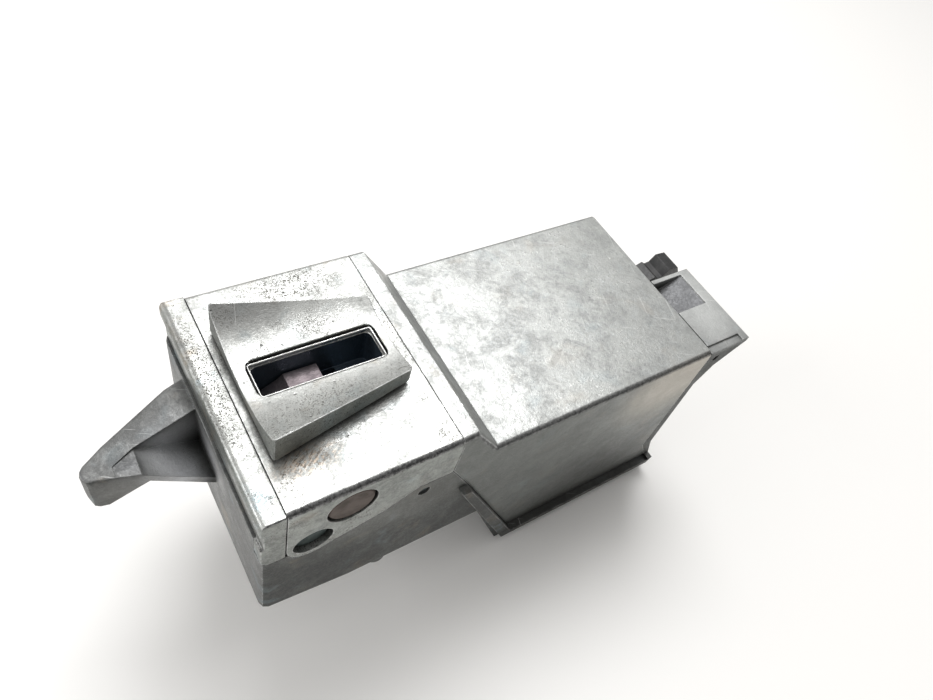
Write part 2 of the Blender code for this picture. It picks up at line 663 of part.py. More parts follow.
def head_pins(root, brown, steel):
    bm = cylinder(STOP_PIN_RADIUS, "Y", STOP_PIN_X, STOP_PIN_Z, PIN_SINK, PIN_SINK + STOP_PIN_LENGTH, 32)
    bevel_edges(bm, lambda p, q: abs(p.y - q.y) < 1e-6, PIN_CHAMFER, 1)
    add("stop_pin", bm, root, brown, True)
    bm = cylinder(KEEPER_RADIUS, "Y", KEEPER_X, KEEPER_Z, KEEPER_RECESS, KEEPER_RECESS + KEEPER_LENGTH, 32)
    bevel_edges(bm, lambda p, q: abs(p.y - q.y) < 1e-6, PIN_CHAMFER, 1)
    add("keeper_pin", bm, root, steel, True)
    bm = cylinder(ROLL_PIN_RADIUS, "Y", ROLL_PIN_X, ROLL_PIN_Z, ROLL_PIN_RECESS,
                  ROLL_PIN_RECESS + ROLL_PIN_LENGTH, 16)
    add("roll_pin", bm, root, steel, True)


def electronics_cover(root, look):
    bm = extruded(cover_outline(), "Y", 0.0, BODY_WIDTH)

    def upper(point):
        return point.z > -STEP_DROP - 1e-6 and point.x > BLOCK_RIGHT - 1e-4

    bevel_edges(bm, lambda p, q: upper(p) and upper(q) and abs(p.y - q.y) < 1e-6, TOP_BEVEL)
    cover = add("electronics_cover", bm, root, look)
    inner = [
        (SEAM_KNEE_X - PAST, BOARD_TOP - COVER_WALL),
        (BOX_LEFT + BOARD_MARGIN, -STEP_DROP - COVER_WALL),
        (BOX_RIGHT - COVER_WALL, -STEP_DROP - COVER_WALL),
        (box_end_x(-COVER_DEPTH) - COVER_WALL, -COVER_DEPTH - PAST),
        (SEAM_FOOT_X - RIM * 2, -COVER_DEPTH - PAST),
        (SEAM_KNEE_X - RIM * 2, SEAM_KNEE_Z),
    ]
    cut(cover, extruded(inner, "Y", COVER_WALL, BODY_WIDTH - COVER_WALL), "inside")
    for number, (x, y) in enumerate(board_posts(), 1):
        join(cover, cylinder(POST_RADIUS, "Z", x, y, BOARD_TOP + SEAM, -STEP_DROP - COVER_WALL + PAST, 16),
             f"post_{number}")
    for number, (x, y) in enumerate(board_posts(), 1):
        cut(cover, cylinder(BOARD_SCREW_RADIUS + SEAM, "Z", x, y, BOARD_TOP - PAST,
                            BOARD_TOP + BOARD_SCREW_LENGTH, 16), f"post_hole_{number}")
    cut(cover, box(BOX_RIGHT - COVER_WALL - PAST * 2, SOCKET_Y - SEAM, SOCKET_TOP - SOCKET_HEIGHT - SEAM,
                   TAB_RIGHT, SOCKET_Y + SOCKET_WIDTH + SEAM, SOCKET_TOP + SEAM), "socket_hole")
    return cover


def board_posts():
    left = BOARD_LEFT + POST_INSET
    right = BOARD_RIGHT - POST_INSET
    front = BOARD_FRONT + POST_INSET
    return [(x, y) for x in (left, right) for y in (front, BODY_WIDTH - front)]


def lock_bolt(moving, look):
    left, right = bolt_span()
    tongue = left + TONGUE_INSET
    tongue_right = right - TONGUE_BACK
    flat = tongue + (tongue_right - tongue) * 27 / 62
    bottom = CARRIER_TOP - CARRIER_THICKNESS
    body_top = BOLT_TOP - BOLT_BODY_DROP
    outline = [
        (left, bottom),
        (right, bottom),
        (right, body_top),
        (tongue_right, body_top),
        (tongue_right, BOLT_TOP),
        (flat, BOLT_TOP),
        (flat - TONGUE_CHAMFER, BOLT_TOP - TONGUE_CHAMFER),
        (tongue, BOLT_TOP - TONGUE_SHOULDER_DROP),
        (tongue, body_top),
        (left, body_top),
    ]
    half = SLOT_WIDTH / 2 - SLIDE_FIT
    bm = extruded(outline, "Y", HALF_WIDTH - half, HALF_WIDTH + half)
    middle = (left + right) / 2
    outer = middle - left - 1e-6
    bevel_edges(bm, lambda p, q: upright(p, q) and min(abs(p.x - middle), abs(q.x - middle)) > outer,
                BOLT_EDGE, 1)
    bolt = add("lock_bolt", bm, moving, look)
    cut(bolt, cylinder(BOLT_PIN_RADIUS + SEAM, "Y", (left + right) / 2, CARRIER_TOP - CARRIER_THICKNESS / 2,
                       0.0, BODY_WIDTH, 16), "pin_hole")
    return bolt


def bolt_carrier(moving, look):
    half = CARRIER_WIDTH / 2
    left, right = bolt_span()
    bm = box(CARRIER_LEFT, HALF_WIDTH - half, CARRIER_TOP - CARRIER_THICKNESS,
             CARRIER_RIGHT, HALF_WIDTH + half, CARRIER_TOP)
    bevel_edges(bm, upright, SLOT_CORNER)
    carrier = add("bolt_carrier", bm, moving, look)
    fit = SLOT_WIDTH / 2
    cut(carrier, box(left - SEAM, HALF_WIDTH - fit, CARRIER_TOP - CARRIER_THICKNESS - PAST,
                     right + SEAM, HALF_WIDTH + fit, CARRIER_TOP + PAST), "bolt_slot")
    cut(carrier, cylinder(SCREW_RADIUS + SLIDE_FIT, "Z", SCREW_X, HALF_WIDTH,
                          CARRIER_TOP - CARRIER_THICKNESS - PAST, CARRIER_TOP + PAST), "nut")
    cut(carrier, cylinder(BOLT_PIN_RADIUS + SEAM, "Y", (left + right) / 2,
                          CARRIER_TOP - CARRIER_THICKNESS / 2, 0.0, BODY_WIDTH, 16), "pin_hole")
    return carrier


def bolt_pin(moving, look):
    left, right = bolt_span()
    half = CARRIER_WIDTH / 2 - PIN_SINK
    bm = cylinder(BOLT_PIN_RADIUS, "Y", (left + right) / 2, CARRIER_TOP - CARRIER_THICKNESS / 2,
                  HALF_WIDTH - half, HALF_WIDTH + half, 16)
    return add("bolt_pin", bm, moving, look, True)


def lift_screw(turning, look):
    """Upright screw on its own axis: a journal at each end and the threaded part between."""
    low = CHAMBER_FLOOR - BUSH_LENGTH + PIN_SINK
    high = -BLOCK_DEPTH + BUSH_LENGTH - PIN_SINK
    thread_low = CHAMBER_FLOOR + SEAM
    thread_high = -BLOCK_DEPTH - SEAM
    profile = [(0, high), (SCREW_JOURNAL, high), (SCREW_JOURNAL, thread_high), (SCREW_RADIUS, thread_high),
               (SCREW_RADIUS, thread_low), (SCREW_JOURNAL, thread_low), (SCREW_JOURNAL, low), (0, low)]
    return turned("lift_screw", profile, turning, look)


def turned(name, profile, parent, look, steps=CURVE_STEPS):
    """A round piece from its half profile, in the parent's Z axis, closed at the axis."""
    bm = bmesh.new()
    verts = [bm.verts.new((radius, 0, z)) for radius, z in profile]
    edges = [bm.edges.new(pair) for pair in zip(verts, verts[1:])]
    bmesh.ops.spin(bm, geom=verts + edges, cent=(0, 0, 0), axis=(0, 0, 1), angle=math.tau, steps=steps,
                   use_merge=True, use_duplicate=False)
    bmesh.ops.remove_doubles(bm, verts=bm.verts, dist=1e-7)
    bmesh.ops.dissolve_degenerate(bm, edges=bm.edges, dist=1e-7)
    return add(name, bm, parent, look, True)


def ring(name, inner, outer, length, parent, location, axis, look):
    """A bush standing on its own origin along Z or X."""
    bm = cylinder(outer, "Z", 0, 0, 0, length)
    obj = add(name, bm, parent, look, True)
    obj.location = location
    if axis == "X":
        obj.rotation_euler = (0, math.radians(90), 0)
    tool = cut(obj, cylinder(inner, "Z", 0, 0, -PAST, length + PAST), "bore")
    tool.location = obj.location
    tool.rotation_euler = obj.rotation_euler
    return obj


def worm_wheel(turning, look):
    """A wheel with slanted teeth, whose tooth gap meets the worm thread at its +Y side."""
    slant = WORM_STARTS * PITCH / (math.tau * WORM_RADIUS) * WHEEL_WIDTH / 2 / WHEEL_RADIUS
    tip = WHEEL_RADIUS + TOOTH_HEIGHT
    root = WHEEL_RADIUS - TOOTH_DEPTH
    half_pitch_tooth = PITCH * TOOTH_SHARE / 2
    half_tip = (half_pitch_tooth - TOOTH_SLOPE * TOOTH_HEIGHT) / tip
    half_root = (half_pitch_tooth + TOOTH_SLOPE * TOOTH_DEPTH) / root
    step = math.tau / WHEEL_TEETH
    bm = bmesh.new()
    rings = []
    for layer in (-1, 0, 1):
        row = []
        for tooth in range(WHEEL_TEETH):
            middle = math.pi / 2 + (tooth + 0.5) * step + layer * slant
            for radius, offset in ((root, -half_root), (tip, -half_tip), (tip, half_tip), (root, half_root)):
                angle = middle + offset
                row.append(bm.verts.new((radius * math.cos(angle), radius * math.sin(angle),
                                         WHEEL_Z + layer * WHEEL_WIDTH / 2)))
        rings.append(row)
    count = len(rings[0])
    for lower, upper in zip(rings, rings[1:]):
        for i in range(count):
            j = (i + 1) % count
            bm.faces.new((lower[i], lower[j], upper[j], upper[i]))
    bm.faces.new(rings[-1])
    bm.faces.new(reversed(rings[0]))
    wheel = add("worm_wheel", bm, turning, look)
    cut(wheel, cylinder(SCREW_RADIUS + SEAM, "Z", 0, 0, WHEEL_Z - WHEEL_WIDTH, WHEEL_Z + WHEEL_WIDTH), "bore")
    return wheel


def worm(turning, look):
    """The motor's worm in its own X axis, with its threads as swept trapezoids joined to the core."""
    core = WORM_RADIUS - TOOTH_DEPTH
    obj = add("worm", cylinder(core, "X", 0, 0, -WORM_LENGTH / 2, WORM_LENGTH / 2), turning, look)
    obj.location = (SCREW_X, 0, 0)
    lead = WORM_STARTS * PITCH
    turns = (WORM_LENGTH - PITCH) / lead
    steps = math.ceil(turns * CURVE_STEPS)
    half_pitch_tooth = PITCH * TOOTH_SHARE / 2
    half_tip = half_pitch_tooth - TOOTH_SLOPE * TOOTH_HEIGHT
    half_root = half_pitch_tooth + TOOTH_SLOPE * TOOTH_DEPTH
    tip = WORM_RADIUS + TOOTH_HEIGHT
    sunk = core - TOOTH_DEPTH * 0.3
    section = [(sunk, -half_root), (tip, -half_tip), (tip, half_tip), (sunk, half_root)]
    for start in range(WORM_STARTS):
        bm = bmesh.new()
        rows = []
        for i in range(steps + 1):
            along = (i / steps - 0.5) * turns
            # A thread lies at x = 0 where it faces the wheel, on the -Y side.
            angle = math.radians(180) + math.tau * along + math.tau * start / WORM_STARTS
            rows.append([bm.verts.new((along * lead + x, r * math.cos(angle), r * math.sin(angle)))
                         for r, x in section])
        for row, following in zip(rows, rows[1:]):
            for i in range(4):
                j = (i + 1) % 4
                bm.faces.new((row[i], row[j], following[j], following[i]))
        bm.faces.new(rows[0])
        bm.faces.new(rows[-1])
        tool = join(obj, bm, f"thread_{start + 1}")
        tool.location = obj.location
    tool = cut(obj, cylinder(SHAFT_RADIUS + SEAM, "X", 0, 0, -WORM_LENGTH, WORM_LENGTH), "bore")
    tool.location = obj.location
    return obj


def motor_section(grow=0.0):
    """The can's end view: a round with two flats."""
    turn = math.degrees(math.acos(MOTOR_FLAT))
    wide = (MOTOR_HALF_WIDTH + grow) / MOTOR_FLAT
    high = MOTOR_RADIUS + grow
    round_parts = arc(0, 0, 1, turn, 180 - turn, 12) + arc(0, 0, 1, 180 + turn, 360 - turn, 12)
    return [(WORM_Y + a * wide, WHEEL_Z + b * high) for a, b in round_parts]


def motor(root, turning, steel, plastic):
    """A small direct-current motor: a can with two flats, an end cap and the shaft."""
    start = motor_start()
    bore_end = MOTOR_END - MOTOR_CAP
    can = add("motor_can", extruded(motor_section(), "X", start, MOTOR_END), root, steel, True)
    cut(can, cylinder(SHAFT_RADIUS + SLIDE_FIT, "X", WORM_Y, WHEEL_Z, start - PAST, bore_end), "bore")
    cap = extruded(motor_section(), "X", MOTOR_END + SEAM, MOTOR_END + SEAM + MOTOR_CAP)
    add("motor_end_cap", cap, root, plastic, True)
    bm = cylinder(SHAFT_RADIUS, "X", 0, 0, SHAFT_END_X, bore_end - PAST, 16)
    add("motor_shaft", bm, turning, steel, True)


def motor_strap(root, look):
    """A bent strap that holds the motor down on the bulkhead side of the floor."""
    x = MOTOR_END - STRAP_WIDTH - MOTOR_GAP
    inner = MOTOR_HALF_WIDTH + SEAM
    outer = inner + STRAP_THICKNESS
    top = WHEEL_Z + MOTOR_RADIUS + SEAM
    bottom = -BASE_DEPTH + FLOOR + SEAM
    outline = [
        (WORM_Y - outer, bottom),
        (WORM_Y - outer, top + STRAP_THICKNESS),
        (WORM_Y + outer, top + STRAP_THICKNESS),
        (WORM_Y + outer, bottom),
        (WORM_Y + inner, bottom),
        (WORM_Y + inner, top),
        (WORM_Y - inner, top),
        (WORM_Y - inner, bottom),
    ]
    return add("motor_strap", extruded(outline, "X", x, x + STRAP_WIDTH), root, look)


def motor_cradle(root, look):
    """The block that carries the motor from below, cut to the slope of the bulkhead."""
    start = motor_start() + PAST
    end = MOTOR_END - STRAP_WIDTH - MOTOR_GAP - SEAM * 2
    low = -BASE_DEPTH + FLOOR + SEAM
    pan_left = pan_span()[0] + SEAM
    clear = MOTOR_GAP
    steep = (SEAM_FOOT_X - SEAM_KNEE_X) / (COVER_DEPTH + SEAM_KNEE_Z)
    outline = [
        (start, CRADLE_TOP),
        (start, SEAM_KNEE_Z - (start - clear - SEAM_KNEE_X) / steep),
        (SEAM_FOOT_X + clear, -COVER_DEPTH),
        (pan_left, -COVER_DEPTH),
        (pan_left, low),
        (end, low),
        (end, CRADLE_TOP),
    ]
    inner = MOTOR_HALF_WIDTH - PAST
    cradle = add("motor_cradle", extruded(outline, "Y", WORM_Y - inner, WORM_Y + inner), root, look)
    cut(cradle, extruded(motor_section(SEAM), "X", 0.0, TAB_RIGHT), "seat")
    return cradle


def circuit_board(root, look):
    board = add("circuit_board", box(BOARD_LEFT, BOARD_FRONT, BOARD_TOP - BOARD_THICKNESS, BOARD_RIGHT,
                                     BODY_WIDTH - BOARD_FRONT, BOARD_TOP), root, look)
    for number, (x, y) in enumerate(board_posts(), 1):
        cut(board, cylinder(BOARD_SCREW_RADIUS + SEAM, "Z", x, y, BOARD_UNDER - PAST, BOARD_TOP + PAST, 16),
            f"hole_{number}")
    return board


def board_screws(root, look):
    tip = BOARD_TOP + BOARD_SCREW_LENGTH - SEAM
    crown = BOARD_UNDER - BOARD_SCREW_HEAD_HEIGHT
    edge = BOARD_UNDER - BOARD_SCREW_HEAD_HEIGHT * 0.65
    for number, (x, y) in enumerate(board_posts(), 1):
        holder = empty(f"board_screw_{number}_place", root, (x, y, 0))
        profile = [(0, tip), (BOARD_SCREW_RADIUS, tip - SEAM), (BOARD_SCREW_RADIUS, BOARD_UNDER),
                   (BOARD_SCREW_HEAD, BOARD_UNDER), (BOARD_SCREW_HEAD, edge), (BOARD_SCREW_HEAD * 0.6, crown),
                   (0, crown)]
        turned(f"board_screw_{number}", profile, holder, look, 16)


def board_parts(root, black, blue):
    board_length = BOARD_RIGHT - BOARD_LEFT
    relay_right = BOARD_RIGHT - POST_INSET * 2
    chip_left = BOARD_LEFT + POST_INSET * 2
    chip_size = board_length * 0.18
    y = BOARD_FRONT + POST_INSET * 2
    bm = box(relay_right - board_length * 0.28, y, BOARD_UNDER - RELAY_HEIGHT, relay_right, y + RELAY_WIDTH,
             BOARD_UNDER)
    bevel_edges(bm, upright, CASE_EDGE)
    add("relay", bm, root, blue)
    add("controller_chip", box(chip_left, y, BOARD_UNDER - CHIP_HEIGHT, chip_left + chip_size, y + chip_size,
                               BOARD_UNDER), root, black)


def position_switches(root, look):
    right = CARRIER_RIGHT
    left = right - SWITCH_LENGTH
    front = COVER_WALL + SEAM * 2
    back = front + SWITCH_WIDTH
    plunger = left + SWITCH_LENGTH * 0.3
    levels = (("locked", CARRIER_TOP + BOLT_TRAVEL), ("unlocked", CARRIER_TOP))
    for label, level in levels:
        top = level - PAST
        bm = box(left, front, top - SWITCH_HEIGHT, right, back, top)
        bevel_edges(bm, lambda p, q: abs(p.y - q.y) > PAST, CASE_EDGE)
        switch = add("position_switch_" + label, bm, root, look)
        middle = top - SWITCH_HEIGHT / 2
        join(switch, box(plunger, back - PAST / 2, middle - PLUNGER / 2, plunger + PLUNGER, back + PLUNGER / 2,
                         middle + PLUNGER / 2), "plunger")


def plug_socket(root, look):
    """The black plug socket in the far half of the box end, with its latch guide on top."""
    start = BOX_RIGHT - COVER_WALL - SOCKET_FLANGE
    end = BOX_RIGHT + SOCKET_REACH
    bottom = SOCKET_TOP - SOCKET_HEIGHT
    bm = box(start, SOCKET_Y, bottom, end, SOCKET_Y + SOCKET_WIDTH, SOCKET_TOP)
    bevel_edges(bm, lambda p, q: abs(p.x - q.x) > PAST, SLOT_CORNER)
    socket = add("plug_socket", bm, root, look)
    wall = SOCKET_WALL
    bm = box(BOX_RIGHT - PAST / 2, SOCKET_Y + wall, bottom + wall, end + PAST, SOCKET_Y + SOCKET_WIDTH - wall,
             SOCKET_TOP - wall)
    cut(socket, bm, "mouth")
    for number, y in enumerate(terminal_places(), 1):
        cut(socket, terminal_shape(y, SEAM), f"terminal_hole_{number}")
    x = BOX_RIGHT + LATCH_START
    tip = BOX_RIGHT + LATCH_REACH
    run = tip - x
    sunk = SOCKET_TOP - PAST
    latch = [
        (x, sunk),
        (x, LATCH_TOP - LATCH_NOTCH),
        (x + run * 0.26, LATCH_TOP - LATCH_NOTCH / 2),
        (x + run * 0.38, LATCH_TOP - LATCH_NOTCH * 0.9),
        (x + run * 0.50, LATCH_TOP - LATCH_NOTCH * 0.85),
        (x + run * 0.61, LATCH_TOP),
        (x + run * 0.88, LATCH_TOP - LATCH_NOTCH * 0.15),
        (tip, LATCH_TOP - LATCH_NOTCH),
        (x + run * 0.85, LATCH_TOP - LATCH_NOTCH * 2),
        (end, sunk),
    ]
    join(socket, extruded(latch, "Y", SOCKET_Y + SEAM, SOCKET_Y + LATCH_WIDTH), "latch")
    return socket


def terminal_places():
    step = (SOCKET_WIDTH - SOCKET_WALL * 2) / PIN_COUNT
    return [SOCKET_Y + SOCKET_WALL + step * (number + 0.5) for number in range(PIN_COUNT)]


def terminal_shape(y, grow=0.0):
    start = BOX_RIGHT - COVER_WALL - SOCKET_FLANGE - PIN_TAIL
    half = PIN_SIZE / 2 + grow
    middle = SOCKET_TOP - SOCKET_HEIGHT / 2
    end = start + PIN_LENGTH
    return box(start - grow, y - half, middle - half, end + grow, y + half, middle + half)


def terminals(root, look):
    for number, y in enumerate(terminal_places(), 1):
        add(f"terminal_{number}", terminal_shape(y), root, look)


def tray_seal(root, look):
    """The thin seal between the foot of the cover and its seat on the tray."""
    top = -COVER_DEPTH - (FOOT_GAP - SEAL_THICKNESS) / 2
    left = seam_x(top) + SEAL_INSET
    right = cover_end_x(-COVER_DEPTH) - SEAL_INSET
    inner = COVER_WALL - SEAL_INSET
    seal = add("tray_seal", box(left, SEAL_INSET, top - SEAL_THICKNESS, right, BODY_WIDTH - SEAL_INSET, top),
               root, look)
    cut(seal, box(left + inner, COVER_WALL, top - SEAL_THICKNESS - PAST, box_end_x(-COVER_DEPTH) - COVER_WALL,
                  BODY_WIDTH - COVER_WALL, top + PAST), "middle")
    return seal


def bolt_spring(root, look):
    """The compression spring under the carrier, pressed together at rest."""
    low = CHAMBER_FLOOR + SEAM + SPRING_WIRE
    high = CARRIER_TOP - CARRIER_THICKNESS - SEAM - SPRING_WIRE
    count = SPRING_TURNS * 14
    curve = bpy.data.curves.new("bolt_spring", "CURVE")
    curve.dimensions = "3D"
    curve.bevel_depth = SPRING_WIRE
    curve.bevel_resolution = 1
    curve.use_fill_caps = True
    line = curve.splines.new("POLY")
    line.points.add(count)
    for i, point in enumerate(line.points):
        angle = math.tau * SPRING_TURNS * i / count
        height = low + (high - low) * i / count
        point.co = (SPRING_RADIUS * math.cos(angle), SPRING_RADIUS * math.sin(angle), height, 1.0)
    curve.materials.append(look)
    obj = bpy.data.objects.new("bolt_spring", curve)
    bpy.context.scene.collection.objects.link(obj)
    obj.parent = root
    obj.location = (SPRING_X, HALF_WIDTH, 0)
    return obj


def build():
    clear_scene()
    cast = material("cast_metal", (0.62, 0.63, 0.62), 0.42, 0.9)
    cast_dark = material("cast_metal_dark", (0.42, 0.43, 0.42), 0.5, 0.9)
    steel = material("steel", (0.45, 0.43, 0.44), 0.35, 1.0)
    brown = material("brown_steel", (0.30, 0.24, 0.20), 0.5, 0.9)
    brass = material("brass", (0.70, 0.55, 0.28), 0.35, 1.0)
    black = material("black_plastic", (0.02, 0.02, 0.02), 0.5, 0.0)
    white = material("white_plastic", (0.80, 0.79, 0.74), 0.45, 0.0)
    green = material("board_green", (0.03, 0.22, 0.10), 0.5, 0.0)
    blue = material("relay_blue", (0.05, 0.12, 0.35), 0.45, 0.0)
    tin = material("tinned_copper", (0.75, 0.74, 0.70), 0.3, 1.0)
    rubber = material("rubber", (0.03, 0.03, 0.03), 0.8, 0.0)

    middle_x = (TAB_RIGHT + (LATCH_REACH - TAB_LENGTH) - HORN_REACH) / 2
    root = empty("lock_origin", None, (-middle_x, -HALF_WIDTH, BASE_DEPTH))
    moving = empty("bolt_slide_axis", root, (0, 0, 0))
    screw_axis = empty("screw_axis", root, (SCREW_X, HALF_WIDTH, 0))
    shaft_axis = empty("shaft_axis", root, (0, WORM_Y, WHEEL_Z))

    main_housing(root, cast_dark)
    side_strip(root, cast)
    guide_block(root, cast)
    head_pins(root, brown, steel)
    electronics_cover(root, cast)
    lock_bolt(moving, steel)
    bolt_carrier(moving, white)
    bolt_pin(moving, steel)
    bolt_spring(root, steel)
    lift_screw(screw_axis, steel)
    worm_wheel(screw_axis, white)
    worm(shaft_axis, brass)
    motor(root, shaft_axis, steel, black)
    motor_strap(root, steel)
    motor_cradle(root, black)
    bore = SCREW_JOURNAL + SLIDE_FIT
    outer = SCREW_JOURNAL + BUSH_WALL
    ring("lower_bush", bore, outer, BUSH_LENGTH, root, (SCREW_X, HALF_WIDTH, CHAMBER_FLOOR - BUSH_LENGTH), "Z",
         brass)
    ring("upper_bush", bore, outer, BUSH_LENGTH, root, (SCREW_X, HALF_WIDTH, -BLOCK_DEPTH), "Z", brass)
    ring("shaft_bush", SHAFT_RADIUS + SLIDE_FIT, SHAFT_RADIUS + BUSH_WALL, BUSH_LENGTH, root,
         (SHAFT_END_X + PAST, WORM_Y, WHEEL_Z), "X", brass)
    circuit_board(root, green)
    board_screws(root, steel)
    board_parts(root, black, blue)
    position_switches(root, black)
    plug_socket(root, black)
    terminals(root, tin)
    tray_seal(root, rubber)


build()
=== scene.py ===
"""Finish, light and camera for the steering column lock.

Metres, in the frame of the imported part: +X from the horn to the plug, +Y away from the face with the pins,
+Z up out of the saddle.
"""

import math

import bmesh
import bpy
from mathutils import Matrix, Vector
from mathutils.bvhtree import BVHTree


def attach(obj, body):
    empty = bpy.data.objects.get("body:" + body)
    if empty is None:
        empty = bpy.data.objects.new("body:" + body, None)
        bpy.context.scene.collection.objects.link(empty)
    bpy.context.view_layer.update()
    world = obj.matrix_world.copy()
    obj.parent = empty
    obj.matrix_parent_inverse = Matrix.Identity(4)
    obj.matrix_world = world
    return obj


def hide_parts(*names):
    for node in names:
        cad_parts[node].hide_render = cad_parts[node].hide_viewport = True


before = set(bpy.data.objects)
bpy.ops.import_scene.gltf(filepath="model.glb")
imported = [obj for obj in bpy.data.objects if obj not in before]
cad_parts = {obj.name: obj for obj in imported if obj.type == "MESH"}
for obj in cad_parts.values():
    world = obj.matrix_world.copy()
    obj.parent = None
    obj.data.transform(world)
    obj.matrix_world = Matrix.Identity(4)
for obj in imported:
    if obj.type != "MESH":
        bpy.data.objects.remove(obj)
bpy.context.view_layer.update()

# Camera, fitted to the photo's straight edges
CAMERA_PLACE = (-0.07206, -0.07246, 0.19322)
CAMERA_RIGHT = (0.8352, -0.5063, 0.2149)
CAMERA_UP = (0.2991, 0.7460, 0.5950)
FOCAL_PIXELS = 720
IMAGE_WIDTH = 933
SENSOR = 36.0

# Light
TARGET = (0.0, 0.0, 0.05)
KEY_PLACE = (0.20, 0.38, 0.94)
KEY_SIZE = 0.50
KEY_POWER = 6.2
FILL_PLACE = (-0.80, 0.16, 0.42)
FILL_SIZE = 0.50
FILL_POWER = 3.0
SKY_WAY = (0.05, 0.42, 0.90)
SKY_LIGHT = 0.72
SKY_DARK = 0.05
SKY_COLOUR = (1.0, 0.995, 0.975, 1.0)

# Castings
CASTINGS = ("main_housing", "side_strip", "guide_block", "electronics_cover")
EDGE = 0.00038
SEAM_REACH = 0.00050
SEAM_EDGE_SHARE = 0.22
SEAM_CLOSE = 0.00008
# Tint of the painted shade on upright faces turned ahead or leftward
SIDE_SHADE_GREEN = (0.97, 1.0, 0.975)
AHEAD = (0.0, -1.0, 0.0)
LEFTWARD = (-1.0, 0.0, 0.0)
UPWARD = (0.0, 0.0, 1.0)

# Rounding of the other replaced pieces, and the steps of every rounding
BOLT_EDGE = 0.0003
SOCKET_EDGE = 0.0002
PIN_EDGE = 0.0001
ROUND_STEPS = 3

# How a solid's mesh is read: welding distance, and in degrees the bend that a flat face and an edge have
WELD = 1e-6
FLAT_ANGLE = 1.0
EDGE_ANGLE = 24.0

# How wide an edge looks worn, and how far dirt and painted shade on the castings, and tarnish and dust on the
# other pieces, reach out of a corner
WORN_RADIUS = 0.00040
DIRT_AND_SHADE_REACH = 0.0040
SMALL_WORN_RADIUS = 0.00025
METAL_DIRT_REACH = 0.0020
PLASTIC_DIRT_REACH = 0.0030

# Scales of the two finest grains of the castings
FINE_GRAIN = 1400.0
FINEST_GRAIN = 3600.0

# Colours of wear and dirt, and of the dirt and painted shade in corners
WORN_PALE = (0.80, 0.81, 0.80)
SCRATCH = (0.82, 0.83, 0.82)
FLOW_MARK = (0.80, 0.86, 0.92)
BROWN_STAIN = (0.40, 0.31, 0.22)
BLUE_STAIN = (0.36, 0.47, 0.52)
SPECK = (0.115, 0.11, 0.10)
PIT = (0.04, 0.04, 0.038)
# Dirt and painted shade in corners
CORNER_DIRT_AND_SHADE = (0.035, 0.035, 0.032)
TARNISH = (0.03, 0.03, 0.03)
DUST = (0.40, 0.39, 0.37)
RUB_DARK = (0.13, 0.11, 0.09)
RUB_BROWN = (0.50, 0.41, 0.33)

# The pitted bevel along the front of the plate and of the box, painted dark: pits and painted shade
BEVEL_WAY = (0.0, -1.0, 1.0)
BEVEL_REACH = 0.90
BEVEL_BACK = -0.0248
BEVEL_FADE = 0.0004
BEVEL_PIT_SHADE = (0.085, 0.085, 0.088)
BEVEL_LIGHTER_SHADE = (0.26, 0.26, 0.26)

# The way that the slope in the tab's recess faces, where it gets painted shade
SLOPE_WAY = (-0.41, 0.0, 0.91)

# The slot, the painted shade on its walls under the rim, and the bright lip that stands round it in the
# groove of its rim
SLOT_LEFT = -0.0452
SLOT_RIGHT = -0.0201
SLOT_HALF_WIDTH = 0.0036
SLOT_RIM_FLOOR = 0.0783
SLOT_FADE = 0.0004
# Painted shade on the slot's walls
SLOT_WALL_SHADE = (0.09, 0.12, 0.155)
LIP_GAP = 0.00006
LIP_WALL = 0.00030
LIP_HEIGHT = 0.00105
LIP_ROUND = 0.00010
LIP_CORNER = 0.00030
LIP_CORNER_STEPS = 4
LIP_EDGE_ANGLE = 50.0

# Floor
FLOOR_HALF = 3.0
FLOOR_COLOUR = (0.96, 0.948, 0.932, 1.0)
FLOOR_ROUGHNESS = 0.55


def put(tree, kind, inputs=None, **settings):
    """Adds a node. An input given a socket is linked to it, and one given a value is set to it."""
    node = tree.nodes.new(kind)
    for name, value in settings.items():
        setattr(node, name, value)
    for name, value in (inputs or {}).items():
        if isinstance(value, bpy.types.NodeSocket):
            tree.links.new(value, node.inputs[name])
        else:
            node.inputs[name].default_value = value
    return node


def math_node(tree, operation, a, b=0.0):
    return put(tree, "ShaderNodeMath", {0: a, 1: b}, operation=operation).outputs[0]


def times(tree, a, b):
    return math_node(tree, "MULTIPLY", a, b)


def plus(tree, a, b):
    return math_node(tree, "ADD", a, b)


def larger(tree, a, b):
    return math_node(tree, "MAXIMUM", a, b)


def off(tree, a, b):
    """How far apart two values are."""
    return math_node(tree, "ABSOLUTE", math_node(tree, "SUBTRACT", a, b))


def span(tree, value, low, high, out_low=0.0, out_high=1.0):
    """The value's share of the way from low to high, eased and held between the two outer values."""
    node = put(tree, "ShaderNodeMapRange",
               {"Value": value, "From Min": low, "From Max": high, "To Min": out_low, "To Max": out_high},
               interpolation_type="SMOOTHSTEP")
    return node.outputs["Result"]


def mix(tree, share, a, b):
    node = put(tree, "ShaderNodeMix", {0: share}, data_type="RGBA")
    for socket, value in ((node.inputs[6], a), (node.inputs[7], b)):
        if isinstance(value, bpy.types.NodeSocket):
            tree.links.new(value, socket)
        else:
            socket.default_value = (*value, 1.0)
    return node.outputs[2]


def noise(tree, place, scale, detail=3.0, rough=0.6, twist=0.0):
    return put(tree, "ShaderNodeTexNoise", {"Vector": place, "Scale": scale, "Detail": detail,
                                            "Roughness": rough, "Distortion": twist}).outputs["Fac"]


def cells(tree, place, scale):
    return put(tree, "ShaderNodeTexVoronoi", {"Vector": place, "Scale": scale}).outputs["Distance"]


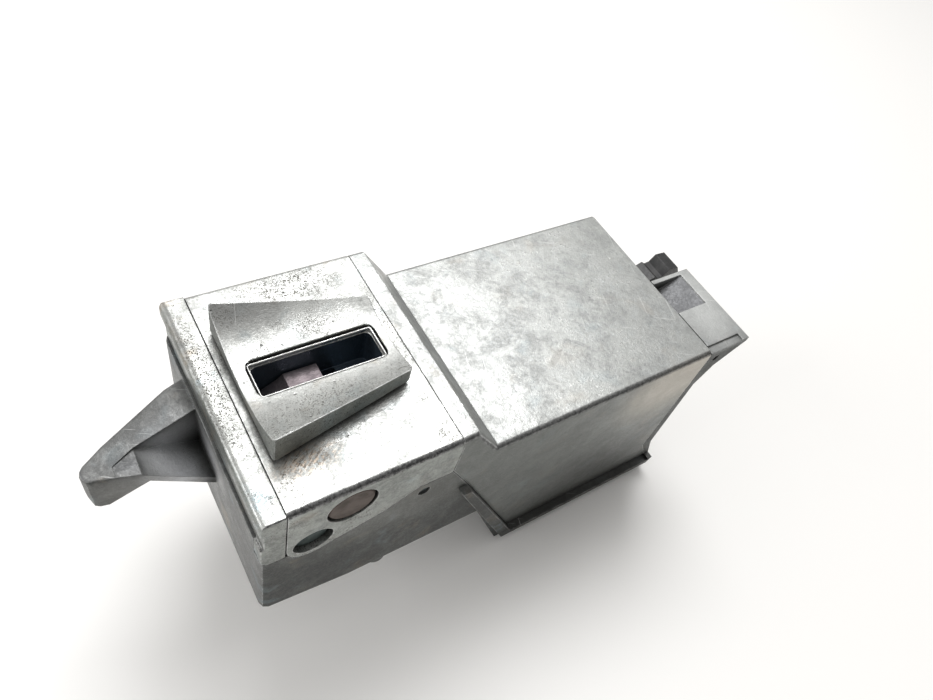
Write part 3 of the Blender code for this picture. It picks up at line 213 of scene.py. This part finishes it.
def stretched(tree, place, scale, turn):
    """The place turned about Z and scaled, for marks that run one way."""
    turned = put(tree, "ShaderNodeMapping", {"Vector": place, "Rotation": (0.0, 0.0, turn)}).outputs["Vector"]
    return put(tree, "ShaderNodeMapping", {"Vector": turned, "Scale": scale}).outputs["Vector"]


def facing(tree, way):
    """How far the surface faces one way."""
    normal = put(tree, "ShaderNodeNewGeometry").outputs["Normal"]
    return put(tree, "ShaderNodeVectorMath", {0: normal, 1: Vector(way).normalized()},
               operation="DOT_PRODUCT").outputs["Value"]


def near(tree, place, spot, size):
    """1 at the spot, falling to 0 at the edge of an ellipsoid of the given half sizes."""
    away = put(tree, "ShaderNodeVectorMath", {0: place, 1: spot}, operation="SUBTRACT").outputs[0]
    share = put(tree, "ShaderNodeVectorMath", {0: away, 1: size}, operation="DIVIDE").outputs[0]
    length = put(tree, "ShaderNodeVectorMath", {0: share}, operation="LENGTH").outputs["Value"]
    return span(tree, length, 1.0, 0.25)


def in_slot(tree, place):
    """1 on the walls of the slot under its rim, where the slot's painted shade goes."""
    x, y, z = put(tree, "ShaderNodeSeparateXYZ", {"Vector": place}).outputs
    half_length = (SLOT_RIGHT - SLOT_LEFT) / 2
    along = span(tree, off(tree, x, (SLOT_LEFT + SLOT_RIGHT) / 2), half_length + SLOT_FADE, half_length)
    across = span(tree, off(tree, y, 0.0), SLOT_HALF_WIDTH + SLOT_FADE, SLOT_HALF_WIDTH)
    below = span(tree, z, SLOT_RIM_FLOOR, SLOT_RIM_FLOOR - SLOT_FADE)
    return times(tree, times(tree, along, across), below)


def new_material(name):
    made = bpy.data.materials.new(name)
    made.use_nodes = True
    tree = made.node_tree
    return made, tree, tree.nodes["Principled BSDF"], put(tree, "ShaderNodeTexCoord").outputs["Object"]


def edges_and_corners(tree, radius, depth):
    """Three sockets: how near a worn edge is, how deep in a corner a point lies, and the eased normal."""
    eased = put(tree, "ShaderNodeBevel", {"Radius": radius}, samples=4).outputs["Normal"]
    own = put(tree, "ShaderNodeNewGeometry").outputs["Normal"]
    turn = put(tree, "ShaderNodeVectorMath", {0: eased, 1: own}, operation="DOT_PRODUCT").outputs["Value"]
    bare = put(tree, "ShaderNodeAmbientOcclusion", {"Distance": depth}, samples=5).outputs["AO"]
    edge = times(tree, span(tree, turn, 0.995, 0.90), span(tree, bare, 0.50, 0.80))
    corner = span(tree, bare, 0.70, 0.20)
    return edge, corner, eased


def relief(tree, shader, height, normal, strength, distance):
    """Gives the shader a fine relief."""
    bump = put(tree, "ShaderNodeBump",
               {"Strength": strength, "Distance": distance, "Height": height, "Normal": normal})
    tree.links.new(bump.outputs["Normal"], shader.inputs["Normal"])


def paler(colour, gain, lift):
    """The colour's paler tone on a worn edge."""
    return tuple(min(1.0, value * gain + lift) for value in colour)


def side_shade_tint(colour, share):
    """Painted shade for a face turned one way: the colour darkened by the share and tinted slightly green."""
    return tuple(value * share * green for value, green in zip(colour, SIDE_SHADE_GREEN))


def cast_metal(name, light, dark, upright, speckle, clouds=(90.0, 330.0), rough=(0.30, 0.55),
               stain=0.2, wear=0.8, corner_dirt_and_shade=0.82, flow=0.0, spots=(), rubs=(), lit_and_shaded_patches=(),
               slope=None, calm=0.40, front_bevel_pits_and_shade=0.0, slot=False, rim=False):
    """Die-cast metal: cloudy tone, dark specks and pits, corners darkened by dirt and painted shade, worn
    edges, a few worn places, and painted light and shade where it is given.

    light and dark are the ends of its tone. upright pairs a way that a face points with the share of the
    tone that it keeps, which paints shade on faces turned that way, and calm is the share of the cloudiness
    that upright faces keep. A spot is a place, its half sizes and how worn it is. A rub is the same for the
    brown streaks, and a patch adds its own colour there: painted light where it is paler, painted shade where
    it is darker. slope is the colour of the painted shade on the slope in the tab's recess. A rim material is
    the same metal on the rounding of an edge, where handling has rubbed it bright.
    """
    made, tree, shader, place = new_material(name)
    edge, corner, eased = edges_and_corners(tree, WORN_RADIUS, DIRT_AND_SHADE_REACH)
    if rim:
        edge = span(tree, noise(tree, place, 420.0, 3.0, 0.7), 0.32, 0.62)
    upper = span(tree, facing(tree, UPWARD), 0.35, 0.85)

    # Cloudy tone, calmer on the upright faces
    cloud = span(tree, noise(tree, place, clouds[0], 4.0, 0.62, 0.7), 0.38, 0.64)
    middle = span(tree, noise(tree, place, clouds[1], 4.0, 0.66, 0.4), 0.36, 0.66)
    fine = noise(tree, place, FINE_GRAIN, 3.0, 0.72)
    grain = noise(tree, place, FINEST_GRAIN, 2.0, 0.65)
    tone = plus(tree, times(tree, cloud, 0.34), times(tree, middle, 0.24))
    tone = plus(tree, tone, span(tree, fine, 0.26, 0.74, 0.0, 0.42))
    off_mean = math_node(tree, "SUBTRACT", tone, 0.5)
    tone = plus(tree, times(tree, off_mean, span(tree, upper, 0.0, 1.0, calm, 1.0)), 0.5)
    colour = mix(tree, tone, dark, light)
    # Painted shade: upright faces turned each given way get a darker, slightly green tone
    for way, share in upright:
        side_shaded = mix(tree, tone, side_shade_tint(dark, share), side_shade_tint(light, share))
        colour = mix(tree, span(tree, facing(tree, way), 0.55, 0.90), colour, side_shaded)

    # Wavy pale marks where the metal flowed
    if flow:
        ridge = noise(tree, place, 230.0, 3.0, 0.6, 2.4)
        line = span(tree, off(tree, ridge, 0.5), 0.035, 0.004)
        patchy = span(tree, noise(tree, place, 85.0, 2.0, 0.5), 0.46, 0.62)
        flowed = times(tree, times(tree, line, patchy), times(tree, upper, flow))
        colour = mix(tree, flowed, colour, FLOW_MARK)

    # Brown and bluish stains
    tint = noise(tree, place, 120.0, 3.0, 0.55, 0.5)
    colour = mix(tree, span(tree, tint, 0.57, 0.72, 0.0, stain), colour, BROWN_STAIN)
    colour = mix(tree, span(tree, tint, 0.43, 0.28, 0.0, stain), colour, BLUE_STAIN)

    # Painted light and shade: places made paler or darker than the rest
    for spot, size, strength, other in lit_and_shaded_patches:
        # Each patch colour is painted light or painted shade, varied a little with the tone
        uneven = mix(tree, tone, tuple(0.72 * value for value in other), other)
        colour = mix(tree, times(tree, near(tree, place, spot, size), strength), colour, uneven)
    # Painted shade on the slope in the tab's recess
    if slope:
        colour = mix(tree, span(tree, facing(tree, SLOPE_WAY), 0.97, 0.99), colour, slope)

    # Specks and pits, thickest in the worn places
    worn_place = span(tree, noise(tree, place, 90.0, 3.0, 0.6), 0.48, 0.64, 0.12, 0.85)
    for spot, size, strength in spots:
        worn_place = larger(tree, worn_place, times(tree, near(tree, place, spot, size), strength))
    level = plus(tree, times(tree, grain, 0.5), times(tree, fine, 0.5))
    speck = times(tree, span(tree, level, 0.495, 0.585), times(tree, worn_place, speckle))
    pit = times(tree, span(tree, cells(tree, place, 430.0), 0.15, 0.06), times(tree, worn_place, speckle))
    colour = mix(tree, speck, colour, SPECK)
    colour = mix(tree, times(tree, pit, 0.9), colour, PIT)

    # Fine bright scratches
    marks_a = noise(tree, stretched(tree, place, (1.0, 30.0, 1.0), 0.5), 60.0, 2.0, 0.5)
    marks_b = noise(tree, stretched(tree, place, (30.0, 1.0, 1.0), 0.3), 55.0, 2.0, 0.5)
    lines = larger(tree, span(tree, marks_a, 0.69, 0.72), span(tree, marks_b, 0.70, 0.73))
    colour = mix(tree, times(tree, lines, times(tree, upper, 0.30)), colour, SCRATCH)

    # Brown streaks where something has rubbed
    roughness = span(tree, tone, 0.15, 0.95, rough[1], rough[0])
    for spot, size, strength in rubs:
        rub = times(tree, near(tree, place, spot, size), strength)
        streak = noise(tree, stretched(tree, place, (1.0, 6.0, 1.0), -0.65), 480.0, 3.0, 0.7)
        rubbed = mix(tree, span(tree, streak, 0.40, 0.62), RUB_DARK, RUB_BROWN)
        colour = mix(tree, times(tree, rub, span(tree, fine, 0.36, 0.60)), colour, rubbed)
        roughness = plus(tree, roughness, times(tree, rub, 0.12))

    # The pitted bevel with its painted shade, dirt and painted shade in the corners, worn edges and painted
    # shade on the slot's walls
    # Pits and painted shade on the front bevel
    if front_bevel_pits_and_shade:
        across = put(tree, "ShaderNodeSeparateXYZ", {"Vector": place}).outputs["Y"]
        at_front = times(tree, span(tree, across, BEVEL_BACK + BEVEL_FADE, BEVEL_BACK), front_bevel_pits_and_shade)
        on_slant = span(tree, facing(tree, BEVEL_WAY), 0.76, 0.90)
        pits = mix(tree, span(tree, fine, 0.36, 0.62), BEVEL_PIT_SHADE, BEVEL_LIGHTER_SHADE)
        colour = mix(tree, times(tree, on_slant, at_front), colour, pits)
    # Dirt and painted shade deep in corners
    colour = mix(tree, times(tree, corner, corner_dirt_and_shade), colour, CORNER_DIRT_AND_SHADE)
    worn_edge = times(tree, edge, span(tree, middle, 0.0, 0.7, 0.35 * wear, wear))
    colour = mix(tree, worn_edge, colour, WORN_PALE)
    # Painted shade on the slot's walls under the rim
    if slot:
        colour = mix(tree, times(tree, in_slot(tree, place), 0.95), colour, SLOT_WALL_SHADE)
    tree.links.new(colour, shader.inputs["Base Color"])

    # Gloss and fine relief
    roughness = plus(tree, roughness, times(tree, larger(tree, speck, corner), 0.20))
    roughness = plus(tree, roughness, span(tree, grain, 0.3, 0.7, -0.04, 0.06))
    tree.links.new(roughness, shader.inputs["Roughness"])
    shader.inputs["Metallic"].default_value = 0.90
    height = plus(tree, times(tree, fine, 0.8), times(tree, grain, 0.50))
    height = plus(tree, height, times(tree, middle, 0.16))
    height = math_node(tree, "SUBTRACT", height, plus(tree, times(tree, pit, 1.2), times(tree, speck, 0.35)))
    relief(tree, shader, height, eased, 0.60, 0.00012)
    return made


def plain_metal(name, colour, shade, rough, metal=1.0, scale=900.0, worn=0.7, bump=0.00005):
    """Turned or pressed metal, with a fine uneven grain and a little tarnish."""
    made, tree, shader, place = new_material(name)
    edge, corner, eased = edges_and_corners(tree, SMALL_WORN_RADIUS, METAL_DIRT_REACH)
    patch = span(tree, noise(tree, place, scale * 0.25, 4.0, 0.6), 0.35, 0.68)
    grain = noise(tree, place, scale * 2.6, 3.0, 0.7)
    mixed = mix(tree, patch, colour, shade)
    mixed = mix(tree, times(tree, span(tree, grain, 0.58, 0.68), 0.5), mixed, shade)
    mixed = mix(tree, times(tree, edge, worn), mixed, paler(colour, 1.8, 0.08))
    mixed = mix(tree, times(tree, corner, 0.6), mixed, TARNISH)
    tree.links.new(mixed, shader.inputs["Base Color"])
    tree.links.new(span(tree, patch, 0.0, 1.0, rough, rough + 0.16), shader.inputs["Roughness"])
    shader.inputs["Metallic"].default_value = metal
    relief(tree, shader, grain, eased, 0.5, bump)
    return made


def moulded(name, colour, rough, dust=0.12):
    """Moulded plastic or rubber with a fine grain and a little dust."""
    made, tree, shader, place = new_material(name)
    edge, corner, eased = edges_and_corners(tree, SMALL_WORN_RADIUS, PLASTIC_DIRT_REACH)
    grain = noise(tree, place, 2600.0, 3.0, 0.6)
    dusty = times(tree, span(tree, noise(tree, place, 240.0, 4.0, 0.6), 0.45, 0.75), dust)
    mixed = mix(tree, plus(tree, dusty, times(tree, corner, dust)), colour, DUST)
    mixed = mix(tree, times(tree, edge, 0.25), mixed, paler(colour, 1.6, 0.05))
    tree.links.new(mixed, shader.inputs["Base Color"])
    tree.links.new(span(tree, grain, 0.3, 0.7, rough - 0.06, rough + 0.08), shader.inputs["Roughness"])
    relief(tree, shader, grain, eased, 0.4, 0.00004)
    return made


def paint(material, *nodes):
    for node in nodes:
        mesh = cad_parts[node].data
        mesh.materials.clear()
        mesh.materials.append(material)


def paint_castings():
    """Paints the castings, and gives the material for the roundings of each."""
    plate = dict(
        # upright gives the painted shade on the faces turned ahead and leftward
        light=(0.80, 0.81, 0.79), dark=(0.28, 0.285, 0.275), upright=((AHEAD, 0.66), (LEFTWARD, 0.52)),
        speckle=0.95, rough=(0.25, 0.46), wear=0.95, calm=0.85,
        spots=(
            # Far side of the plate, and its right edge
            ((-0.029, 0.022, 0.0765), (0.016, 0.009, 0.004), 1.0),
            ((-0.013, 0.004, 0.0765), (0.006, 0.024, 0.004), 0.9),
            # Far flank of the saddle, from its left corner to the slot
            ((-0.046, 0.012, 0.0850), (0.010, 0.010, 0.006), 0.75),
            ((-0.032, 0.009, 0.0820), (0.012, 0.006, 0.004), 0.45),
            # Near flank of the saddle
            ((-0.020, -0.008, 0.0820), (0.006, 0.008, 0.004), 0.8),
            ((-0.036, -0.011, 0.0810), (0.020, 0.010, 0.006), 0.9),
            # Side strip
            ((-0.0525, 0.004, 0.0765), (0.004, 0.028, 0.004), 1.0),
        ),
        # Beside the saddle's near left corner
        rubs=(((-0.0425, -0.0175, 0.0765), (0.0095, 0.0048, 0.0030), 0.9),),
        lit_and_shaded_patches=(
            # Painted shade inside the lower front hole
            ((-0.0444, -0.0240, 0.0610), (0.0050, 0.00215, 0.0050), 1.0, (0.05, 0.05, 0.048)),
            # Painted shade on the upper edge of the saddle's far flank
            ((-0.0460, 0.0140, 0.0835), (0.0200, 0.0080, 0.0060), 0.60, (0.30, 0.30, 0.295)),
        ),
        front_bevel_pits_and_shade=0.95, slot=True)
    strip = dict(
        plate, light=(0.68, 0.69, 0.67), dark=(0.22, 0.225, 0.215), speckle=1.0, stain=0.5, wear=0.45,
        # Painted shade at the foot of the strip's leg, at the front corner
        lit_and_shaded_patches=(((-0.0546, -0.0255, 0.0675), (0.0012, 0.0040, 0.0015), 1.0, (0.10, 0.10, 0.095)),),
        slot=False)
    cover = dict(
        # upright gives the painted shade on the faces turned ahead
        light=(0.54, 0.55, 0.535), dark=(0.245, 0.25, 0.245), upright=((AHEAD, 0.47),), speckle=0.30,
        clouds=(110.0, 330.0), rough=(0.27, 0.46), stain=0.12, wear=0.65, flow=0.10,
        lit_and_shaded_patches=(
            # Painted shade on the lower part of the box's front, and a painted warm reflection on its upper
            # right corner
            ((0.0450, -0.0262, 0.0120), (0.0420, 0.0015, 0.0320), 0.70, (0.075, 0.077, 0.072)),
            ((0.0560, -0.0262, 0.0600), (0.0260, 0.0015, 0.0240), 0.58, (0.72, 0.66, 0.57)),
        ),
        front_bevel_pits_and_shade=0.7)
    lower = dict(
        # upright gives the painted shade on the faces turned ahead
        light=(0.25, 0.255, 0.25), dark=(0.145, 0.145, 0.145), upright=((AHEAD, 0.50),), speckle=0.35,
        clouds=(60.0, 320.0), rough=(0.42, 0.60), wear=0.45, corner_dirt_and_shade=0.40, calm=0.80,
        lit_and_shaded_patches=(
            # The horn: painted light on the floor of its pocket, painted shade on its top and on the flat end
            # of the pocket, painted light on its front face
            ((-0.0605, 0.0010, 0.0590), (0.0130, 0.0130, 0.0100), 0.85, (0.85, 0.86, 0.88)),
            ((-0.0660, 0.0120, 0.0660), (0.0180, 0.0240, 0.0030), 0.85, (0.15, 0.152, 0.15)),
            ((-0.0695, 0.0000, 0.0640), (0.0045, 0.0050, 0.0016), 0.90, (0.145, 0.147, 0.15)),
            ((-0.0735, -0.0050, 0.0590), (0.0140, 0.0075, 0.0100), 1.0, (0.30, 0.30, 0.29)),
            # Painted light on the upper part of the head's front, under the plate
            ((-0.0220, -0.0262, 0.0600), (0.0380, 0.0030, 0.0170), 0.60, (0.27, 0.275, 0.26)),
            # Painted light on the top of the tab
            ((0.0700, -0.0100, 0.0665), (0.0160, 0.0280, 0.0032), 0.90, (0.60, 0.61, 0.60)),
            # Painted shade on the tray's rim
            ((0.0300, -0.0290, 0.0060), (0.0800, 0.0070, 0.0090), 0.85, (0.055, 0.057, 0.053)),
        ),
        # Painted shade on the slope in the tab's recess
        slope=(0.145, 0.147, 0.152))
    looks = {
        "guide_block": ("plate_cast", plate),
        "side_strip": ("strip_cast", strip),
        "electronics_cover": ("cover_cast", cover),
        "main_housing": ("housing_cast", lower),
    }
    rims = {}
    for node, (name, look) in looks.items():
        paint(cast_metal(name, **look), node)
        rims[node] = cast_metal(name + "_rim", rim=True, **look)
    return rims


def paint_small_pieces():
    bolt = plain_metal("bolt_steel", (0.40, 0.345, 0.36), (0.15, 0.13, 0.14), 0.42,
                       scale=560.0, bump=0.00014)
    brown = plain_metal("brown_steel", (0.14, 0.11, 0.095), (0.095, 0.08, 0.068), 0.55,
                        metal=0.6, worn=0.2)
    green = plain_metal("keeper_steel", (0.045, 0.07, 0.066), (0.015, 0.022, 0.022), 0.40,
                        metal=0.8, worn=0.4)
    steel = plain_metal("inner_steel", (0.48, 0.48, 0.49), (0.32, 0.32, 0.33), 0.28)
    brass = plain_metal("bush_brass", (0.66, 0.48, 0.22), (0.45, 0.31, 0.13), 0.30)
    tin = plain_metal("tinned", (0.78, 0.76, 0.72), (0.60, 0.58, 0.54), 0.25)
    paint(bolt, "lock_bolt")
    paint(brown, "stop_pin")
    paint(green, "keeper_pin", "roll_pin")
    paint(steel, "bolt_pin", "bolt_spring", "lift_screw", "motor_can", "motor_shaft", "motor_strap",
          *(f"board_screw_{n}" for n in range(1, 5)))
    paint(brass, "worm", "lower_bush", "upper_bush", "shaft_bush")
    paint(tin, *(f"terminal_{n}" for n in range(1, 5)))
    paint(moulded("black_plastic", (0.018, 0.018, 0.019), 0.46), "plug_socket", "motor_end_cap",
          "motor_cradle", "position_switch_locked", "position_switch_unlocked", "controller_chip")
    paint(moulded("white_plastic", (0.74, 0.73, 0.68), 0.42, dust=0.05), "bolt_carrier", "worm_wheel")
    paint(moulded("board_lacquer", (0.02, 0.16, 0.07), 0.40, dust=0.05), "circuit_board")
    paint(moulded("relay_blue", (0.03, 0.09, 0.30), 0.35, dust=0.05), "relay")
    paint(moulded("seal_rubber", (0.02, 0.02, 0.02), 0.75), "tray_seal")


def cleaned(node):
    """The solid's shape with its flat faces whole again."""
    bm = bmesh.new()
    bm.from_mesh(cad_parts[node].data)
    bmesh.ops.remove_doubles(bm, verts=bm.verts, dist=WELD)
    bmesh.ops.dissolve_limit(bm, angle_limit=math.radians(FLAT_ANGLE), verts=bm.verts, edges=bm.edges)
    return bm


def tree_of(node):
    """The solid's surface, to measure distances to it."""
    bm = cleaned(node)
    tree = BVHTree.FromBMesh(bm)
    bm.free()
    return tree


def close_seams(bm, neighbours):
    """Moves the corners along a seam a little towards the neighbour, as the real seams are hairlines."""
    for vert in bm.verts:
        found = [tree.find_nearest(vert.co) for tree in neighbours]
        place, _, _, gap = min(found, key=lambda hit: hit[3])
        if SEAM_CLOSE < gap < SEAM_REACH:
            vert.co += (place - vert.co).normalized() * SEAM_CLOSE


def add_piece(name, bm, material, body):
    """Puts a new piece into the scene, on its body and in its material slot."""
    mesh = bpy.data.meshes.new(name)
    bm.to_mesh(mesh)
    bm.free()
    obj = bpy.data.objects.new(name, mesh)
    bpy.context.scene.collection.objects.link(obj)
    mesh.materials.append(material)
    mesh.shade_smooth()
    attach(obj, body)
    return obj


def on_bevel(line):
    """Whether an edge lies on the pitted bevel, which is rounded already."""
    way = Vector(BEVEL_WAY).normalized()
    return all(face.normal.dot(way) > BEVEL_REACH for face in line.link_faces)


def refined(node, edge=EDGE, body="case", neighbours=(), rim=None):
    """A copy of a solid with rounded edges, softer along its seams, which takes the solid's place."""
    bm = cleaned(node)
    if neighbours:
        close_seams(bm, neighbours)
    bm.normal_update()
    weights = bm.edges.layers.float.new("bevel_weight_edge")
    for line in bm.edges:
        sharp = len(line.link_faces) == 2 and line.calc_face_angle(0.0) >= math.radians(EDGE_ANGLE)
        if not sharp or on_bevel(line):
            continue
        middle = (line.verts[0].co + line.verts[1].co) / 2
        nearest = min((tree.find_nearest(middle)[3] for tree in neighbours), default=1.0)
        line[weights] = SEAM_EDGE_SHARE if nearest < SEAM_REACH else 1.0
    obj = add_piece(node + "_finish", bm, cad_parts[node].data.materials[0], body)
    rounding = obj.modifiers.new("round", "BEVEL")
    if rim:
        obj.data.materials.append(rim)
        rounding.material = 1
    rounding.width = edge
    rounding.segments = ROUND_STEPS
    rounding.limit_method = "WEIGHT"
    rounding.use_clamp_overlap = True
    even = obj.modifiers.new("even", "WEIGHTED_NORMAL")
    even.weight = 100
    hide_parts(node)


def refine(rims):
    trees = {node: tree_of(node) for node in CASTINGS}
    for node in CASTINGS:
        others = [tree for other, tree in trees.items() if other != node]
        refined(node, neighbours=others, rim=rims[node])
    refined("lock_bolt", BOLT_EDGE, "bolt")
    refined("plug_socket", SOCKET_EDGE)
    refined("stop_pin", PIN_EDGE)


def slot_outline(grow):
    """The slot's outline, set out by a distance, as points from its right far corner round."""
    half_length = (SLOT_RIGHT - SLOT_LEFT) / 2
    middle = (SLOT_LEFT + SLOT_RIGHT) / 2
    turn = LIP_CORNER + grow
    points = []
    for quarter, (x, y) in enumerate(((1, 1), (-1, 1), (-1, -1), (1, -1))):
        for step in range(LIP_CORNER_STEPS + 1):
            angle = math.pi / 2 * (quarter + step / LIP_CORNER_STEPS)
            points.append((middle + x * (half_length - LIP_CORNER) + turn * math.cos(angle),
                           y * (SLOT_HALF_WIDTH - LIP_CORNER) + turn * math.sin(angle)))
    return points


def slot_lip():
    """The thin bright lip that stands round the slot, in the groove of its rim."""
    top = SLOT_RIM_FLOOR + LIP_HEIGHT
    outer = LIP_GAP + LIP_WALL
    section = ((LIP_GAP, SLOT_RIM_FLOOR), (LIP_GAP, top - LIP_ROUND), (LIP_GAP + LIP_ROUND, top),
               (outer - LIP_ROUND, top), (outer, top - LIP_ROUND), (outer, SLOT_RIM_FLOOR))
    bm = bmesh.new()
    rings = [[bm.verts.new((x, y, z)) for x, y in slot_outline(grow)] for grow, z in section]
    for ring, following in zip(rings, rings[1:] + rings[:1]):
        for n in range(len(ring)):
            m = (n + 1) % len(ring)
            bm.faces.new((ring[n], ring[m], following[m], following[n]))
    bmesh.ops.recalc_face_normals(bm, faces=bm.faces)
    bright = plain_metal("lip_metal", (0.86, 0.87, 0.86), (0.62, 0.62, 0.60), 0.26, worn=0.5)
    lip = add_piece("slot_lip", bm, bright, "case")
    lip.data.set_sharp_from_angle(angle=math.radians(LIP_EDGE_ANGLE))


def floor():
    mesh = bpy.data.meshes.new("floor")
    corners = [(x * FLOOR_HALF, y * FLOOR_HALF, 0.0) for x, y in ((-1, -1), (1, -1), (1, 1), (-1, 1))]
    mesh.from_pydata(corners, [], [(0, 1, 2, 3)])
    obj = bpy.data.objects.new("floor", mesh)
    bpy.context.scene.collection.objects.link(obj)
    made, _, shader, _ = new_material("floor_pale")
    shader.inputs["Base Color"].default_value = FLOOR_COLOUR
    shader.inputs["Roughness"].default_value = FLOOR_ROUGHNESS
    mesh.materials.append(made)


def area_light(name, place, size, power):
    lamp = bpy.data.lights.new(name, "AREA")
    lamp.size = size
    lamp.energy = power
    obj = bpy.data.objects.new(name, lamp)
    obj.location = place
    obj.rotation_euler = (Vector(TARGET) - Vector(place)).to_track_quat("-Z", "Y").to_euler()
    bpy.context.scene.collection.objects.link(obj)


def light():
    area_light("key", KEY_PLACE, KEY_SIZE, KEY_POWER)
    area_light("fill", FILL_PLACE, FILL_SIZE, FILL_POWER)
    world = bpy.data.worlds.new("room")
    world.use_nodes = True
    bpy.context.scene.world = world
    tree = world.node_tree
    way = put(tree, "ShaderNodeTexCoord").outputs["Generated"]
    towards = put(tree, "ShaderNodeVectorMath", {0: way, 1: Vector(SKY_WAY).normalized()},
                  operation="DOT_PRODUCT").outputs["Value"]
    strength = span(tree, towards, -0.10, 0.95, SKY_DARK, SKY_LIGHT)
    tree.links.new(strength, tree.nodes["Background"].inputs["Strength"])
    tree.nodes["Background"].inputs["Color"].default_value = SKY_COLOUR


def camera():
    right = Vector(CAMERA_RIGHT).normalized()
    up = Vector(CAMERA_UP)
    up = (up - right * up.dot(right)).normalized()
    data = bpy.data.cameras.new("camera")
    data.sensor_width = SENSOR
    data.lens = FOCAL_PIXELS / IMAGE_WIDTH * SENSOR
    data.clip_start = 0.005
    obj = bpy.data.objects.new("camera", data)
    turn = Matrix((right, up, right.cross(up))).transposed().to_4x4()
    obj.matrix_world = Matrix.Translation(CAMERA_PLACE) @ turn
    bpy.context.scene.collection.objects.link(obj)
    bpy.context.scene.camera = obj
    bpy.context.scene.view_settings.view_transform = "Standard"


casting_rims = paint_castings()
paint_small_pieces()
refine(casting_rims)
slot_lip()
floor()
light()
camera()
